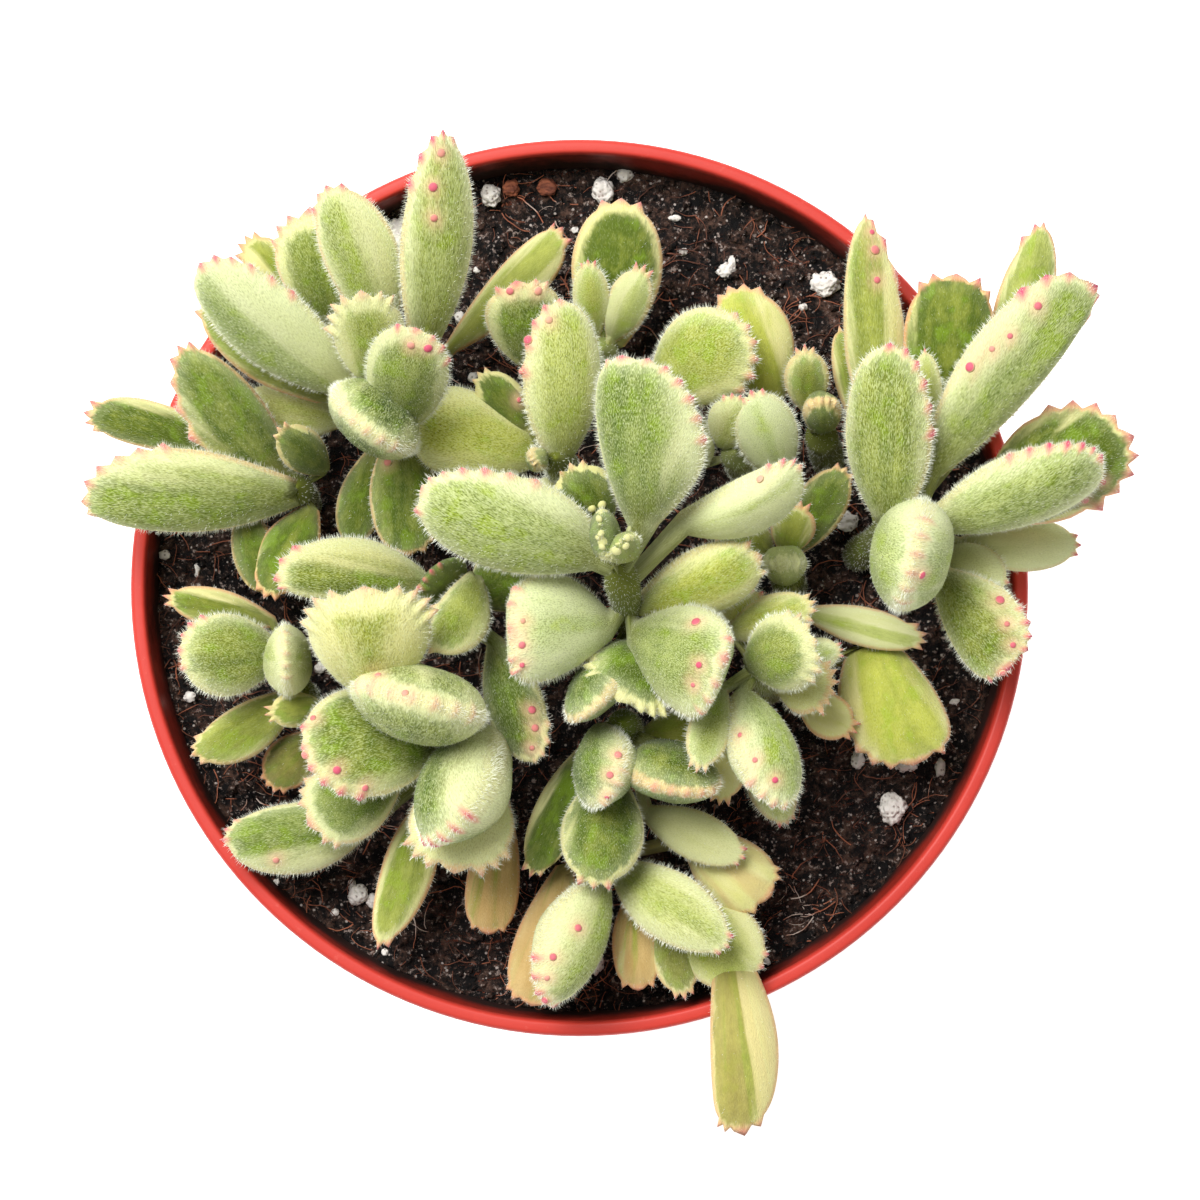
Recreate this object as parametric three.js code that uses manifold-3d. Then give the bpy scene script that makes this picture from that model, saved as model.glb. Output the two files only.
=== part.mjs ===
// A bushy succulent with plump toothed leaves, standing in soil in a round red nursery pot.
// Millimetres, +Z up, origin at the centre of the pot's underside.
import * as THREE from 'three';
import { mergeVertices } from 'three/addons/utils/BufferGeometryUtils.js';
import Module from 'manifold-3d';

const wasm = await Module();
wasm.setup();

// Pot
const RIM_RADIUS = 57;
const LIP_WIDTH = 1.9;
const LIP_SKIRT = 9;
const RIM_LEAN = 0.09;
const POT_HEIGHT = 98;
const WALL = 1.3;
const FLOOR_RADIUS = 42;
const FLOOR_THICKNESS = 1.6;
const DRAIN_COUNT = 6;
const DRAIN_RADIUS = 3;
const DRAIN_CIRCLE = 31;
const GAP = 0.3;
const POT_SIDES = 48;

// Soil
const SOIL_TOP = 90;
const SOIL_ROUGHNESS = 0.55;
const STEM_DEPTH = 9;
const GRAIN_RISE = 0.2;
const SEAT_GROWTH = 0.9;
const SOIL_RINGS = 5;
const SOIL_SIDES = 32;
const FIRST_GRAIN_SEED = 101;
const GRAIN_SEED_STEP = 13;

// Stems and leaves
const STEM_RADIUS = 2.1;
const STALK_HALF_WIDTH = 1.2;
const STALK_THICKNESS = 2.4;
const PLUMPNESS = 0.44;
const VALLEY_DEPTH = -0.25;
const UPPER_SHARE = 0.42;
const LOWER_SHARE = 0.58;
const TOOTH_LENGTH = 0.85;
const ARCH = 0.12;
const CUP = 0.06;
const INNER_START = 0.03;
const INNER_LENGTH = 0.86;
const INNER_WIDTH = 0.62;
const CLEARANCE = 0.55;
const MOST_SHIFT = 16;
const SHIFT_STEP = 0.5;
const FIRST_LEAF_SEED = 11;
const LEAF_SEED_STEP = 37;

// The straight-down view in which leaf places were read: 1200 pixels square, eye 480 mm above the rim.
const VIEW = {
  centre: 600,
  eyeDistance: 480,
  millimetresPerPixel: RIM_RADIUS / 450,
  tilt: THREE.MathUtils.degToRad(2),
  target: new THREE.Vector3(2.6, -1.8, POT_HEIGHT),
};

// The point at height z that the view shows at a pixel.
function seenAt([px, py], z) {
  const back = new THREE.Vector3(0, -Math.sin(VIEW.tilt), Math.cos(VIEW.tilt));
  const upright = new THREE.Vector3(0, Math.cos(VIEW.tilt), Math.sin(VIEW.tilt));
  const eye = VIEW.target.clone().addScaledVector(back, VIEW.eyeDistance);
  const scale = VIEW.millimetresPerPixel / VIEW.eyeDistance;
  const ray = back.clone().negate();
  ray.x += (px - VIEW.centre) * scale;
  ray.addScaledVector(upright, (VIEW.centre - py) * scale);
  return eye.addScaledVector(ray, (z - eye.z) / ray.z);
}

function pixelsToMillimetres(pixels, z) {
  const distance = VIEW.eyeDistance - (z - POT_HEIGHT);
  return pixels * VIEW.millimetresPerPixel * distance / VIEW.eyeDistance;
}

// Seeded draws between 0 and 1.
function seededRandom(seed) {
  let state = seed;
  return () => {
    state = (state * 16807) % 2147483647;
    return state / 2147483647;
  };
}

// Solids and meshes

function solidFromGeometry(geometry) {
  geometry.deleteAttribute('normal');
  geometry.deleteAttribute('uv');
  const merged = mergeVertices(geometry, 1e-4);
  return new wasm.Manifold(new wasm.Mesh({
    numProp: 3,
    vertProperties: merged.attributes.position.array,
    triVerts: new Uint32Array(merged.index.array),
  }));
}

function geometryFromPoints(points, triangles) {
  const geometry = new THREE.BufferGeometry();
  const positions = new Float32Array(points.flatMap((point) => point.toArray()));
  geometry.setAttribute('position', new THREE.BufferAttribute(positions, 3));
  geometry.setIndex(triangles);
  return geometry;
}

function meshFromSolid(name, solid, material) {
  const { vertProperties, triVerts, numProp } = solid.getMesh();
  const geometry = new THREE.BufferGeometry();
  const interleaved = new THREE.InterleavedBuffer(vertProperties, numProp);
  geometry.setAttribute('position', new THREE.InterleavedBufferAttribute(interleaved, 3, 0));
  geometry.setIndex(new THREE.BufferAttribute(triVerts, 1));
  const plain = geometry.toNonIndexed();
  plain.computeVertexNormals();
  const mesh = new THREE.Mesh(plain, material);
  mesh.name = name;
  return mesh;
}

// Leaves

// A side's shape: full is how far it swells, broad is where along the leaf it is broadest, and point is over
// 1 for a pointed end and under 1 for a blunt one. Foot is the width at the leaf's base.
const PLAIN_SIDES = { full: [1, 1], broad: [0.55, 0.55], point: [1, 1], foot: 0.4 };
const SHOULDER_AT = 0.4;
const SHOULDER_WIDTH = 0.7;
const ROUND_END_ANGLES = [6, 34, 62];
const TOOTH_ANGLE = 19;
const TOOTHED_ANGLE = 84;
const LEAST_ANGLE_STEP = 12;
const TIP = { u: 1, v: 0, tooth: 1, angle: Math.PI / 2, sign: 1 };

// One side of a leaf's outline from its stalk to just before its tip: u runs along the leaf, v across it.
// The flank widens to the broadest place, and the round end carries the teeth nearest to the tip.
function leafSide(leaf, which) {
  const shape = { ...PLAIN_SIDES, ...leaf };
  const [full, broad, point] = [shape.full[which], shape.broad[which], shape.point[which]];
  const sign = which ? -1 : 1;
  const shoulder = shape.foot + (1 - shape.foot) * SHOULDER_WIDTH;
  const onRoundEnd = (degrees, tooth) => {
    const angle = THREE.MathUtils.degToRad(degrees);
    const u = broad + (1 - broad) * Math.sin(angle);
    return { u, v: full * Math.cos(angle) ** point, tooth, angle, sign };
  };
  const side = [
    { u: 0, v: full * shape.foot, tooth: 0, angle: 0, sign },
    { u: SHOULDER_AT * broad, v: full * shoulder, tooth: 0, angle: 0, sign },
  ];
  const teeth = leaf.teeth[which];
  const pitch = Math.min(TOOTH_ANGLE, TOOTHED_ANGLE / Math.max(1, teeth));
  const firstValley = 90 - (teeth + 0.5) * pitch;
  for (const degrees of ROUND_END_ANGLES) {
    if (degrees < firstValley - LEAST_ANGLE_STEP) side.push(onRoundEnd(degrees, 0));
  }
  for (let half = 0; half <= 2 * teeth; half += 1) {
    side.push(onRoundEnd(firstValley + half * pitch / 2, half % 2 ? 1 : VALLEY_DEPTH));
  }
  return side;
}

// How thick a leaf is at u, as a share of its greatest thickness.
function thicknessShare(u) {
  return 0.42 + 0.58 * Math.sin(Math.PI * Math.min(1, 0.1 + 0.85 * u));
}

// A leaf's place in space: where its blade starts, its tip, its side direction and its sizes.
function leafPlace(leaf, stem) {
  const high = leaf.high + leaf.shift;
  const low = leaf.low + leaf.shift;
  const root = seenAt(leaf.root, low);
  const up = new THREE.Vector3(0, 0, 1);
  let tip;
  let across;
  let wide;
  let thick;
  if (leaf.ridge) {
    const [from, to] = leaf.ridge.map((pixel) => seenAt(pixel, high));
    tip = from.clone().add(to).multiplyScalar(0.5);
    wide = from.distanceTo(to);
    thick = pixelsToMillimetres(leaf.thick, high);
    across = to.clone().sub(from).normalize();
    const outward = across.clone().cross(up);
    if (outward.dot(tip.clone().sub(stem.crown(low))) < 0) across.negate();
  } else {
    tip = seenAt(leaf.tip, high);
    wide = pixelsToMillimetres(leaf.wide, high);
    thick = leaf.thick ? pixelsToMillimetres(leaf.thick, high) : PLUMPNESS * wide;
    const outward = tip.clone().sub(root).setZ(0).normalize();
    across = up.clone().cross(outward);
  }
  const chord = tip.clone().sub(root);
  const chordDirection = chord.clone().normalize();
  across.addScaledVector(chordDirection, -across.dot(chordDirection)).normalize();
  across.applyAxisAngle(chordDirection, THREE.MathUtils.degToRad(leaf.roll ?? 0));
  const face = chordDirection.clone().cross(across);
  const middle = root.clone().addScaledVector(chord, 0.5);
  middle.addScaledVector(face, (leaf.arch ?? ARCH) * chord.length());
  return { root, middle, tip, across, wide, thick };
}

// The closed surface of one leaf, with its stalk sunk into the stem.
function leafGeometry(leaf, stem) {
  const place = leafPlace(leaf, stem);
  const spine = new THREE.QuadraticBezierCurve3(place.root, place.middle, place.tip);
  const draw = seededRandom(leaf.seed);
  const points = [];
  const pointAt = (u, v, faceOffset, outward) => {
    const centre = spine.getPoint(u);
    const along = spine.getTangent(u);
    const face = along.clone().cross(place.across).normalize();
    const halfWidth = place.wide / 2;
    centre.addScaledVector(place.across, v * halfWidth + outward.y);
    centre.addScaledVector(along, outward.x);
    return centre.addScaledVector(face, faceOffset - CUP * v * v * place.wide);
  };
  const toothPush = (point, sign) => {
    const length = point.tooth * TOOTH_LENGTH * (leaf.bite ?? 1) * (0.75 + 0.5 * draw());
    return new THREE.Vector2(Math.sin(point.angle) * length, sign * Math.cos(point.angle) * length);
  };
  // Rings run up one side, over the apex and down the other. Teeth stand out of the margin ring only.
  const margin = [...leafSide(leaf, 0), TIP, ...leafSide(leaf, 1).reverse()];
  const inner = margin.filter((point) => point.tooth <= 0);
  const still = new THREE.Vector2();
  for (const point of margin) {
    const push = point.tooth ? toothPush(point, point.sign) : still;
    points.push(pointAt(point.u, point.sign * point.v, 0, push));
  }
  for (const bulge of [UPPER_SHARE, -LOWER_SHARE]) {
    for (const point of inner) {
      const u = INNER_START + INNER_LENGTH * point.u;
      const offset = bulge * place.thick * thicknessShare(u);
      points.push(pointAt(u, point.sign * point.v * INNER_WIDTH, offset, still));
    }
  }
  // The stalk starts as a small diamond on the stem's axis.
  const axis = stem.crown(leaf.low + leaf.shift);
  const stalkUp = new THREE.Vector3(0, 0, STALK_THICKNESS / 2);
  points.push(axis.clone().addScaledVector(place.across, STALK_HALF_WIDTH));
  points.push(axis.clone().add(stalkUp));
  points.push(axis.clone().addScaledVector(place.across, -STALK_HALF_WIDTH));
  points.push(axis.clone().sub(stalkUp));
  return geometryFromPoints(points, leafTriangles(margin, inner.length));
}

// Triangles over the rings that leafGeometry lays down: margin, upper ring, lower ring, stalk.
function leafTriangles(margin, innerCount) {
  const triangles = [];
  const quad = (a, b, c, d) => triangles.push(a, b, c, a, c, d);
  const marginCount = margin.length;
  for (const [start, lower] of [[marginCount, false], [marginCount + innerCount, true]]) {
    const facing = (...corners) => triangles.push(...(lower ? corners.reverse() : corners));
    let within = start;
    for (let i = 0; i < marginCount - 1; i += 1) {
      facing(i, i + 1, within);
      if (margin[i + 1].tooth <= 0) {
        facing(i + 1, within + 1, within);
        within += 1;
      }
    }
    const last = start + innerCount - 1;
    for (let i = 0; 2 * i < innerCount - 2; i += 1) {
      facing(start + i, start + i + 1, last - i);
      if (start + i + 1 !== last - i - 1) facing(start + i + 1, last - i - 1, last - i);
    }
  }
  const [right, top, left, bottom] = [0, 1, 2, 3].map((k) => marginCount + 2 * innerCount + k);
  const marginLeft = marginCount - 1;
  const upperRight = marginCount;
  const upperLeft = marginCount + innerCount - 1;
  const lowerRight = marginCount + innerCount;
  const lowerLeft = marginCount + 2 * innerCount - 1;
  quad(right, 0, upperRight, top);
  triangles.push(top, upperRight, upperLeft);
  quad(top, upperLeft, marginLeft, left);
  quad(left, marginLeft, lowerLeft, bottom);
  triangles.push(bottom, lowerLeft, lowerRight);
  quad(bottom, lowerRight, 0, right);
  quad(right, top, left, bottom);
  return triangles.reverse();
}

// A curved stem through hand-placed points, each a pixel with a height.
class Stem {
  constructor(points) {
    const places = points.map(([px, py, z]) => seenAt([px, py], z));
    const foot = places[0].clone().setZ(SOIL_TOP - STEM_DEPTH + GAP);
    this.curve = new THREE.CatmullRomCurve3([foot, ...places], false, 'centripetal');
  }

  // The axis point at a height, held between the foot and the top.
  crown(height) {
    let [low, high] = [0, 1];
    for (let step = 0; step < 20; step += 1) {
      const half = (low + high) / 2;
      if (this.curve.getPoint(half).z < height) low = half;
      else high = half;
    }
    return this.curve.getPoint(low);
  }

  getFoot() {
    return this.curve.getPoint(0);
  }

  geometry() {
    const section = new THREE.Shape();
    section.absarc(0, 0, STEM_RADIUS, 0, 2 * Math.PI);
    return new THREE.ExtrudeGeometry(section, {
      extrudePath: this.curve,
      steps: 4,
      curveSegments: 3,
      bevelEnabled: false,
    });
  }
}

// Shoots, with leaf places read from the view. Heights are above the pot's underside.
// A leaf spreads from root to tip, or stands on edge below a ridge of the given thickness.
const SHOOTS = [
  {
    name: 'leafy_stem_northwest',
    stemPoints: [[392, 415, 90], [380, 395, 104], [378, 388, 118]],
    leaves: [
      {
        root: [350, 388], tip: [202, 266], wide: 88, low: 112, high: 123, roll: -28, point: [0.8, 0.8],
        teeth: [0, 5],
      },
      { root: [322, 396], tip: [203, 303], wide: 62, low: 106, high: 111, teeth: [1, 1] },
      {
        root: [338, 325], tip: [311, 214], wide: 93, low: 106, high: 114, broad: [0.62, 0.62],
        point: [0.7, 0.7], teeth: [3, 1],
      },
      { root: [303, 308], tip: [248, 240], wide: 52, low: 101, high: 106, teeth: [2, 1] },
      {
        root: [385, 330], tip: [327, 189], wide: 78, low: 113, high: 123, full: [0.8, 1.15],
        teeth: [2, 1],
      },
      {
        root: [425, 340], tip: [443, 134], wide: 78, low: 115, high: 126, roll: 25, broad: [0.5, 0.5],
        point: [1.15, 1.15], foot: 0.6, teeth: [3, 1],
      },
      {
        root: [380, 385], tip: [362, 298], wide: 74, low: 114, high: 127, bite: 1.3, broad: [0.65, 0.65],
        point: [0.65, 0.65], teeth: [4, 2],
      },
      {
        root: [398, 425], tip: [416, 330], wide: 86, low: 112, high: 130, broad: [0.62, 0.62],
        point: [0.75, 0.75], teeth: [1, 3],
      },
      { root: [378, 412], ridge: [[325, 398], [408, 463]], thick: 60, low: 108, high: 128, teeth: [2, 2] },
      { root: [340, 420], tip: [235, 408], wide: 58, low: 104, high: 107, teeth: [1, 1] },
      {
        root: [450, 346], tip: [559, 231], wide: 58, low: 98, high: 102, full: [0.6, 1.1],
        broad: [0.65, 0.65], point: [0.8, 0.8], teeth: [1, 1],
      },
      {
        root: [400, 430], tip: [408, 553], wide: 70, low: 104, high: 106, point: [0.7, 0.7],
        teeth: [3, 0],
      },
      { root: [375, 450], tip: [350, 545], wide: 48, low: 99, high: 100, teeth: [1, 1] },
    ],
  },
  {
    name: 'leafy_stem_west',
    stemPoints: [[305, 505, 90], [297, 487, 106]],
    leaves: [
      {
        root: [288, 474], tip: [181, 350], wide: 80, low: 103, high: 114, full: [1.2, 0.75],
        broad: [0.42, 0.55], point: [1.2, 1], teeth: [4, 1],
      },
      {
        root: [245, 456], tip: [90, 414], wide: 58, low: 100, high: 105, full: [0.65, 1],
        broad: [0.7, 0.65], point: [0.75, 0.9], teeth: [2, 1],
      },
      {
        root: [300, 496], tip: [86, 502], wide: 90, low: 104, high: 112, roll: -25, full: [0.7, 1.25],
        broad: [0.5, 0.62], point: [0.85, 0.85], teeth: [1, 5],
      },
      { root: [243, 505], tip: [264, 592], wide: 44, low: 97, high: 99, teeth: [2, 0] },
      { root: [312, 508], tip: [266, 594], wide: 60, low: 102, high: 105, teeth: [1, 1] },
      { root: [325, 470], tip: [280, 430], wide: 45, low: 103, high: 112, teeth: [1, 1] },
    ],
  },
  {
    name: 'leafy_stem_middle_west',
    stemPoints: [[455, 620, 90], [452, 606, 112]],
    leaves: [
      {
        root: [430, 590], tip: [277, 580], wide: 74, low: 110, high: 120, full: [0.55, 1.3],
        broad: [0.5, 0.5], point: [0.9, 0.8], teeth: [1, 2],
      },
      {
        root: [472, 574], tip: [430, 650], wide: 62, low: 111, high: 121, arch: 0.02, full: [1.35, 0.5],
        broad: [0.5, 0.5], teeth: [0, 5],
      },
      { root: [476, 600], tip: [530, 560], wide: 70, low: 101, high: 105, teeth: [1, 1] },
      { root: [450, 590], tip: [432, 572], wide: 62, low: 103, high: 116, teeth: [2, 1] },
      { root: [495, 642], tip: [535, 761], wide: 62, low: 112, high: 119, roll: 15, teeth: [3, 0] },
    ],
  },
  {
    name: 'leafy_stem_southwest_inner',
    stemPoints: [[305, 700, 90], [293, 688, 108]],
    leaves: [
      {
        root: [278, 652], tip: [181, 650], wide: 84, low: 105, high: 112, full: [1.1, 0.9],
        point: [0.85, 0.85], teeth: [1, 3],
      },
      { root: [274, 622], tip: [169, 597], wide: 40, low: 100, high: 103, teeth: [1, 1] },
      { root: [297, 668], ridge: [[283, 617], [287, 690]], thick: 42, low: 103, high: 119, teeth: [2, 2] },
      { root: [320, 705], tip: [270, 714], wide: 36, low: 106, high: 112, teeth: [1, 1] },
      { root: [294, 693], tip: [195, 753], wide: 54, low: 98, high: 102, full: [1.25, 0.7], teeth: [1, 2] },
      { root: [318, 735], tip: [268, 784], wide: 52, low: 95, high: 96, teeth: [2, 1] },
    ],
  },
  {
    name: 'leafy_stem_southwest',
    stemPoints: [[462, 748, 90], [472, 728, 118]],
    leaves: [
      { root: [425, 705], ridge: [[342, 680], [482, 717]], thick: 72, low: 114, high: 131, teeth: [3, 3] },
      {
        root: [445, 735], tip: [304, 748], wide: 116, low: 110, high: 119, roll: 15, broad: [0.6, 0.55],
        point: [0.9, 0.9], teeth: [4, 1],
      },
      {
        root: [398, 768], tip: [313, 822], wide: 84, low: 103, high: 108, broad: [0.62, 0.62],
        point: [0.6, 0.6], teeth: [2, 3],
      },
      {
        root: [375, 812], tip: [226, 839], wide: 74, low: 98, high: 103, full: [1.3, 0.65],
        broad: [0.5, 0.6], point: [0.9, 0.9], teeth: [0, 2],
      },
      {
        root: [495, 737], tip: [433, 843], wide: 92, thick: 80, low: 114, high: 122, roll: 62,
        teeth: [3, 1],
      },
      {
        root: [470, 765], tip: [455, 866], wide: 106, low: 108, high: 114, bite: 1.3, broad: [0.6, 0.6],
        point: [0.65, 0.65], teeth: [3, 3],
      },
      {
        root: [425, 800], tip: [379, 944], wide: 56, low: 98, high: 101, full: [1.15, 0.75],
        broad: [0.45, 0.45], point: [1.2, 1], teeth: [1, 0],
      },
      {
        root: [378, 692], tip: [365, 594], wide: 126, low: 108, high: 118, bite: 1.3,
        broad: [0.68, 0.68], point: [0.6, 0.6], teeth: [4, 4],
      },
      {
        root: [502, 800], tip: [488, 930], wide: 54, low: 97, high: 98.5, broad: [0.7, 0.7],
        point: [0.5, 0.5], teeth: [1, 1],
      },
    ],
  },
  {
    name: 'leafy_stem_centre',
    stemPoints: [[645, 645, 90], [632, 622, 108], [618, 566, 125]],
    leaves: [
      {
        root: [600, 553], tip: [424, 487], wide: 112, low: 123, high: 128, roll: -25, full: [1, 0.9],
        broad: [0.6, 0.42], point: [0.65, 1.1], foot: 0.5, teeth: [1, 6],
      },
      {
        root: [637, 525], tip: [622, 359], wide: 112, low: 123, high: 129, roll: -20, full: [0.55, 1.4],
        broad: [0.7, 0.45], point: [0.6, 0.75], teeth: [1, 6],
      },
      {
        root: [680, 520], tip: [798, 467], wide: 68, thick: 46, low: 119, high: 125, roll: 32,
        full: [0.5, 1.45], broad: [0.6, 0.5], point: [0.8, 0.8], foot: 0.5, teeth: [3, 0],
      },
      {
        root: [640, 606], tip: [757, 558], wide: 72, thick: 48, low: 113, high: 118, roll: 25,
        broad: [0.6, 0.6], point: [0.65, 0.65], teeth: [1, 1],
      },
      {
        root: [608, 626], tip: [511, 628], wide: 112, thick: 58, low: 114, high: 124, arch: -0.08,
        broad: [0.75, 0.5], point: [0.5, 0.75], teeth: [2, 2],
      },
      {
        root: [636, 632], tip: [724, 658], wide: 112, thick: 58, low: 114, high: 126, arch: -0.08,
        full: [0.78, 1.2], broad: [0.5, 0.72], point: [0.7, 0.8], teeth: [1, 3],
      },
      { root: [600, 530], tip: [572, 468], wide: 68, low: 117, high: 123, teeth: [1, 1] },
      { root: [606, 545], ridge: [[599, 500], [603, 552]], thick: 28, low: 128, high: 136, teeth: [1, 1] },
      { root: [622, 552], ridge: [[606, 552], [638, 530]], thick: 26, low: 128, high: 136, teeth: [1, 1] },
      {
        root: [648, 652], tip: [621, 696], wide: 94, low: 109, high: 119, bite: 1.2, broad: [0.6, 0.6],
        point: [0.6, 0.6], teeth: [3, 4],
      },
      { root: [612, 665], ridge: [[556, 737], [612, 695]], thick: 42, low: 108, high: 120, teeth: [2, 2] },
    ],
  },
  {
    name: 'leafy_stem_middle_north',
    stemPoints: [[565, 475, 90], [556, 458, 118]],
    leaves: [
      {
        root: [560, 460], tip: [560, 302], wide: 86, low: 114, high: 123, roll: 25, broad: [0.5, 0.5],
        point: [0.85, 0.85], teeth: [4, 0],
      },
      { root: [560, 480], tip: [520, 540], wide: 60, low: 103, high: 106, teeth: [1, 1] },
      {
        root: [540, 455], tip: [412, 426], wide: 92, low: 112, high: 118, full: [0.92, 1.07],
        broad: [0.6, 0.7], point: [0.75, 0.75], teeth: [1, 2],
      },
      { root: [530, 430], tip: [480, 375], wide: 46, low: 105, high: 108, teeth: [1, 1] },
      { root: [540, 460], ridge: [[527, 448], [538, 472]], thick: 20, low: 116, high: 122, teeth: [1, 1] },
    ],
  },
  {
    name: 'leafy_stem_north',
    stemPoints: [[600, 362, 90], [602, 350, 106]],
    leaves: [
      {
        root: [612, 345], tip: [621, 203], wide: 92, low: 102, high: 107, point: [0.85, 0.85],
        teeth: [1, 1],
      },
      { root: [595, 335], tip: [588, 263], wide: 38, low: 104, high: 112, teeth: [1, 1] },
      { root: [612, 338], tip: [643, 270], wide: 44, low: 104, high: 112, teeth: [1, 1] },
      {
        root: [535, 365], tip: [517, 286], wide: 78, low: 104, high: 116, broad: [0.68, 0.68],
        point: [0.65, 0.65], teeth: [1, 2],
      },
      { root: [625, 365], tip: [652, 420], wide: 50, low: 101, high: 103, teeth: [1, 1] },
    ],
  },
  {
    name: 'leafy_stem_northeast_inner',
    stemPoints: [[745, 470, 90], [735, 452, 108]],
    leaves: [
      { root: [658, 390], tip: [746, 328], wide: 98, low: 104, high: 112, teeth: [1, 4] },
      { root: [775, 400], tip: [730, 291], wide: 72, low: 101, high: 106, full: [1, 1.2], teeth: [1, 2] },
      { root: [722, 445], tip: [740, 398], wide: 48, low: 106, high: 114, teeth: [2, 1] },
      { root: [705, 465], tip: [690, 438], wide: 38, low: 104, high: 110, bite: 1.3, teeth: [2, 2] },
      { root: [782, 474], tip: [752, 394], wide: 64, low: 105, high: 114, teeth: [1, 1] },
    ],
  },
  {
    name: 'leafy_stem_east_small',
    stemPoints: [[828, 462, 90], [820, 432, 101]],
    leaves: [
      { root: [808, 410], tip: [805, 350], wide: 46, low: 100, high: 106, teeth: [1, 1] },
      { root: [822, 420], ridge: [[802, 402], [842, 400]], thick: 36, low: 100, high: 110, teeth: [2, 2] },
    ],
  },
  {
    name: 'leafy_stem_middle_east',
    stemPoints: [[790, 590, 90], [786, 572, 102]],
    leaves: [
      { root: [785, 555], tip: [845, 470], wide: 52, low: 98, high: 102, teeth: [1, 1] },
      { root: [785, 552], tip: [800, 505], wide: 46, low: 100, high: 105, teeth: [1, 1] },
      { root: [770, 560], tip: [720, 520], wide: 56, low: 98, high: 102, teeth: [1, 1] },
      { root: [784, 566], ridge: [[762, 566], [808, 562]], thick: 36, low: 101, high: 107, teeth: [2, 2] },
      { root: [803, 612], tip: [922, 641], wide: 40, low: 96, high: 99, teeth: [2, 1] },
    ],
  },
  {
    name: 'leafy_stem_northeast',
    stemPoints: [[858, 556, 90], [890, 532, 102], [925, 508, 118]],
    leaves: [
      {
        root: [935, 474], tip: [1096, 289], wide: 82, low: 114, high: 121, roll: 22, full: [1.6, 0.4],
        broad: [0.58, 0.5], point: [0.65, 0.9], foot: 0.5, teeth: [3, 2],
      },
      {
        root: [890, 524], tip: [890, 347], wide: 90, low: 114, high: 123, roll: -20, broad: [0.5, 0.5],
        point: [0.8, 0.8], teeth: [0, 5],
      },
      {
        root: [880, 430], tip: [866, 217], wide: 62, low: 103, high: 107, broad: [0.4, 0.4],
        point: [1.1, 1.5], teeth: [0, 3],
      },
      { root: [860, 430], tip: [840, 330], wide: 32, low: 100, high: 102, teeth: [0, 0] },
      {
        root: [935, 430], tip: [956, 279], wide: 90, low: 105, high: 109, broad: [0.65, 0.65],
        point: [0.65, 0.65], teeth: [2, 2],
      },
      {
        root: [1000, 400], tip: [1043, 226], wide: 58, low: 102, high: 106, broad: [0.5, 0.5],
        point: [1.3, 1.1], teeth: [2, 0],
      },
      { root: [930, 440], tip: [925, 352], wide: 30, low: 111, high: 115, teeth: [0, 0] },
      {
        root: [985, 512], tip: [1127, 440], wide: 126, low: 107, high: 113, full: [1, 0.72],
        point: [0.8, 0.9], teeth: [4, 4],
      },
      {
        root: [938, 520], tip: [1099, 456], wide: 80, thick: 56, low: 114, high: 121, roll: 30,
        broad: [0.5, 0.65], point: [1, 0.6], foot: 0.5, teeth: [6, 0],
      },
      { root: [960, 545], tip: [1077, 545], wide: 54, low: 103, high: 105, teeth: [1, 1] },
      { root: [915, 535], ridge: [[925, 516], [897, 630]], thick: 74, low: 112, high: 128, teeth: [3, 2] },
      {
        root: [940, 577], tip: [1005, 669], wide: 80, low: 107, high: 113, roll: 22, full: [1.25, 0.75],
        broad: [0.6, 0.7], point: [0.5, 0.4], teeth: [4, 1],
      },
      { root: [945, 550], tip: [1002, 590], wide: 56, low: 103, high: 107, teeth: [1, 1] },
    ],
  },
  {
    name: 'leafy_stem_southeast',
    stemPoints: [[768, 688, 90], [758, 664, 116]],
    leaves: [
      {
        root: [752, 664], tip: [813, 642], wide: 80, low: 113, high: 123, point: [0.8, 0.8],
        teeth: [3, 3],
      },
      { root: [790, 660], tip: [840, 650], wide: 34, low: 106, high: 109, teeth: [1, 1] },
      {
        root: [868, 642], tip: [912, 761], wide: 104, low: 98, high: 101, full: [0.95, 1],
        broad: [0.78, 0.5], point: [0.4, 0.8], foot: 0.6, teeth: [1, 3],
      },
      { root: [800, 700], tip: [852, 730], wide: 46, low: 101, high: 103, teeth: [1, 1] },
      { root: [780, 678], tip: [830, 692], wide: 60, low: 107, high: 114, bite: 1.3, teeth: [3, 2] },
      {
        root: [738, 698], tip: [784, 806], wide: 74, thick: 58, low: 112, high: 119, roll: -40,
        teeth: [0, 3],
      },
      { root: [750, 745], tip: [787, 822], wide: 46, low: 98, high: 99.5, teeth: [1, 1] },
      { root: [735, 715], tip: [720, 800], wide: 46, low: 103, high: 104, teeth: [1, 1] },
      { root: [728, 634], tip: [811, 603], wide: 46, low: 108, high: 113, teeth: [1, 2] },
      { root: [742, 640], tip: [742, 590], wide: 60, low: 104, high: 110, teeth: [1, 2] },
      { root: [722, 690], tip: [698, 767], wide: 44, low: 108, high: 113, teeth: [1, 1] },
    ],
  },
  {
    name: 'leafy_stem_south_inner',
    stemPoints: [[628, 735, 90], [622, 722, 112]],
    leaves: [
      {
        root: [608, 732], tip: [604, 803], wide: 76, thick: 54, low: 109, high: 117, roll: 58,
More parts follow.
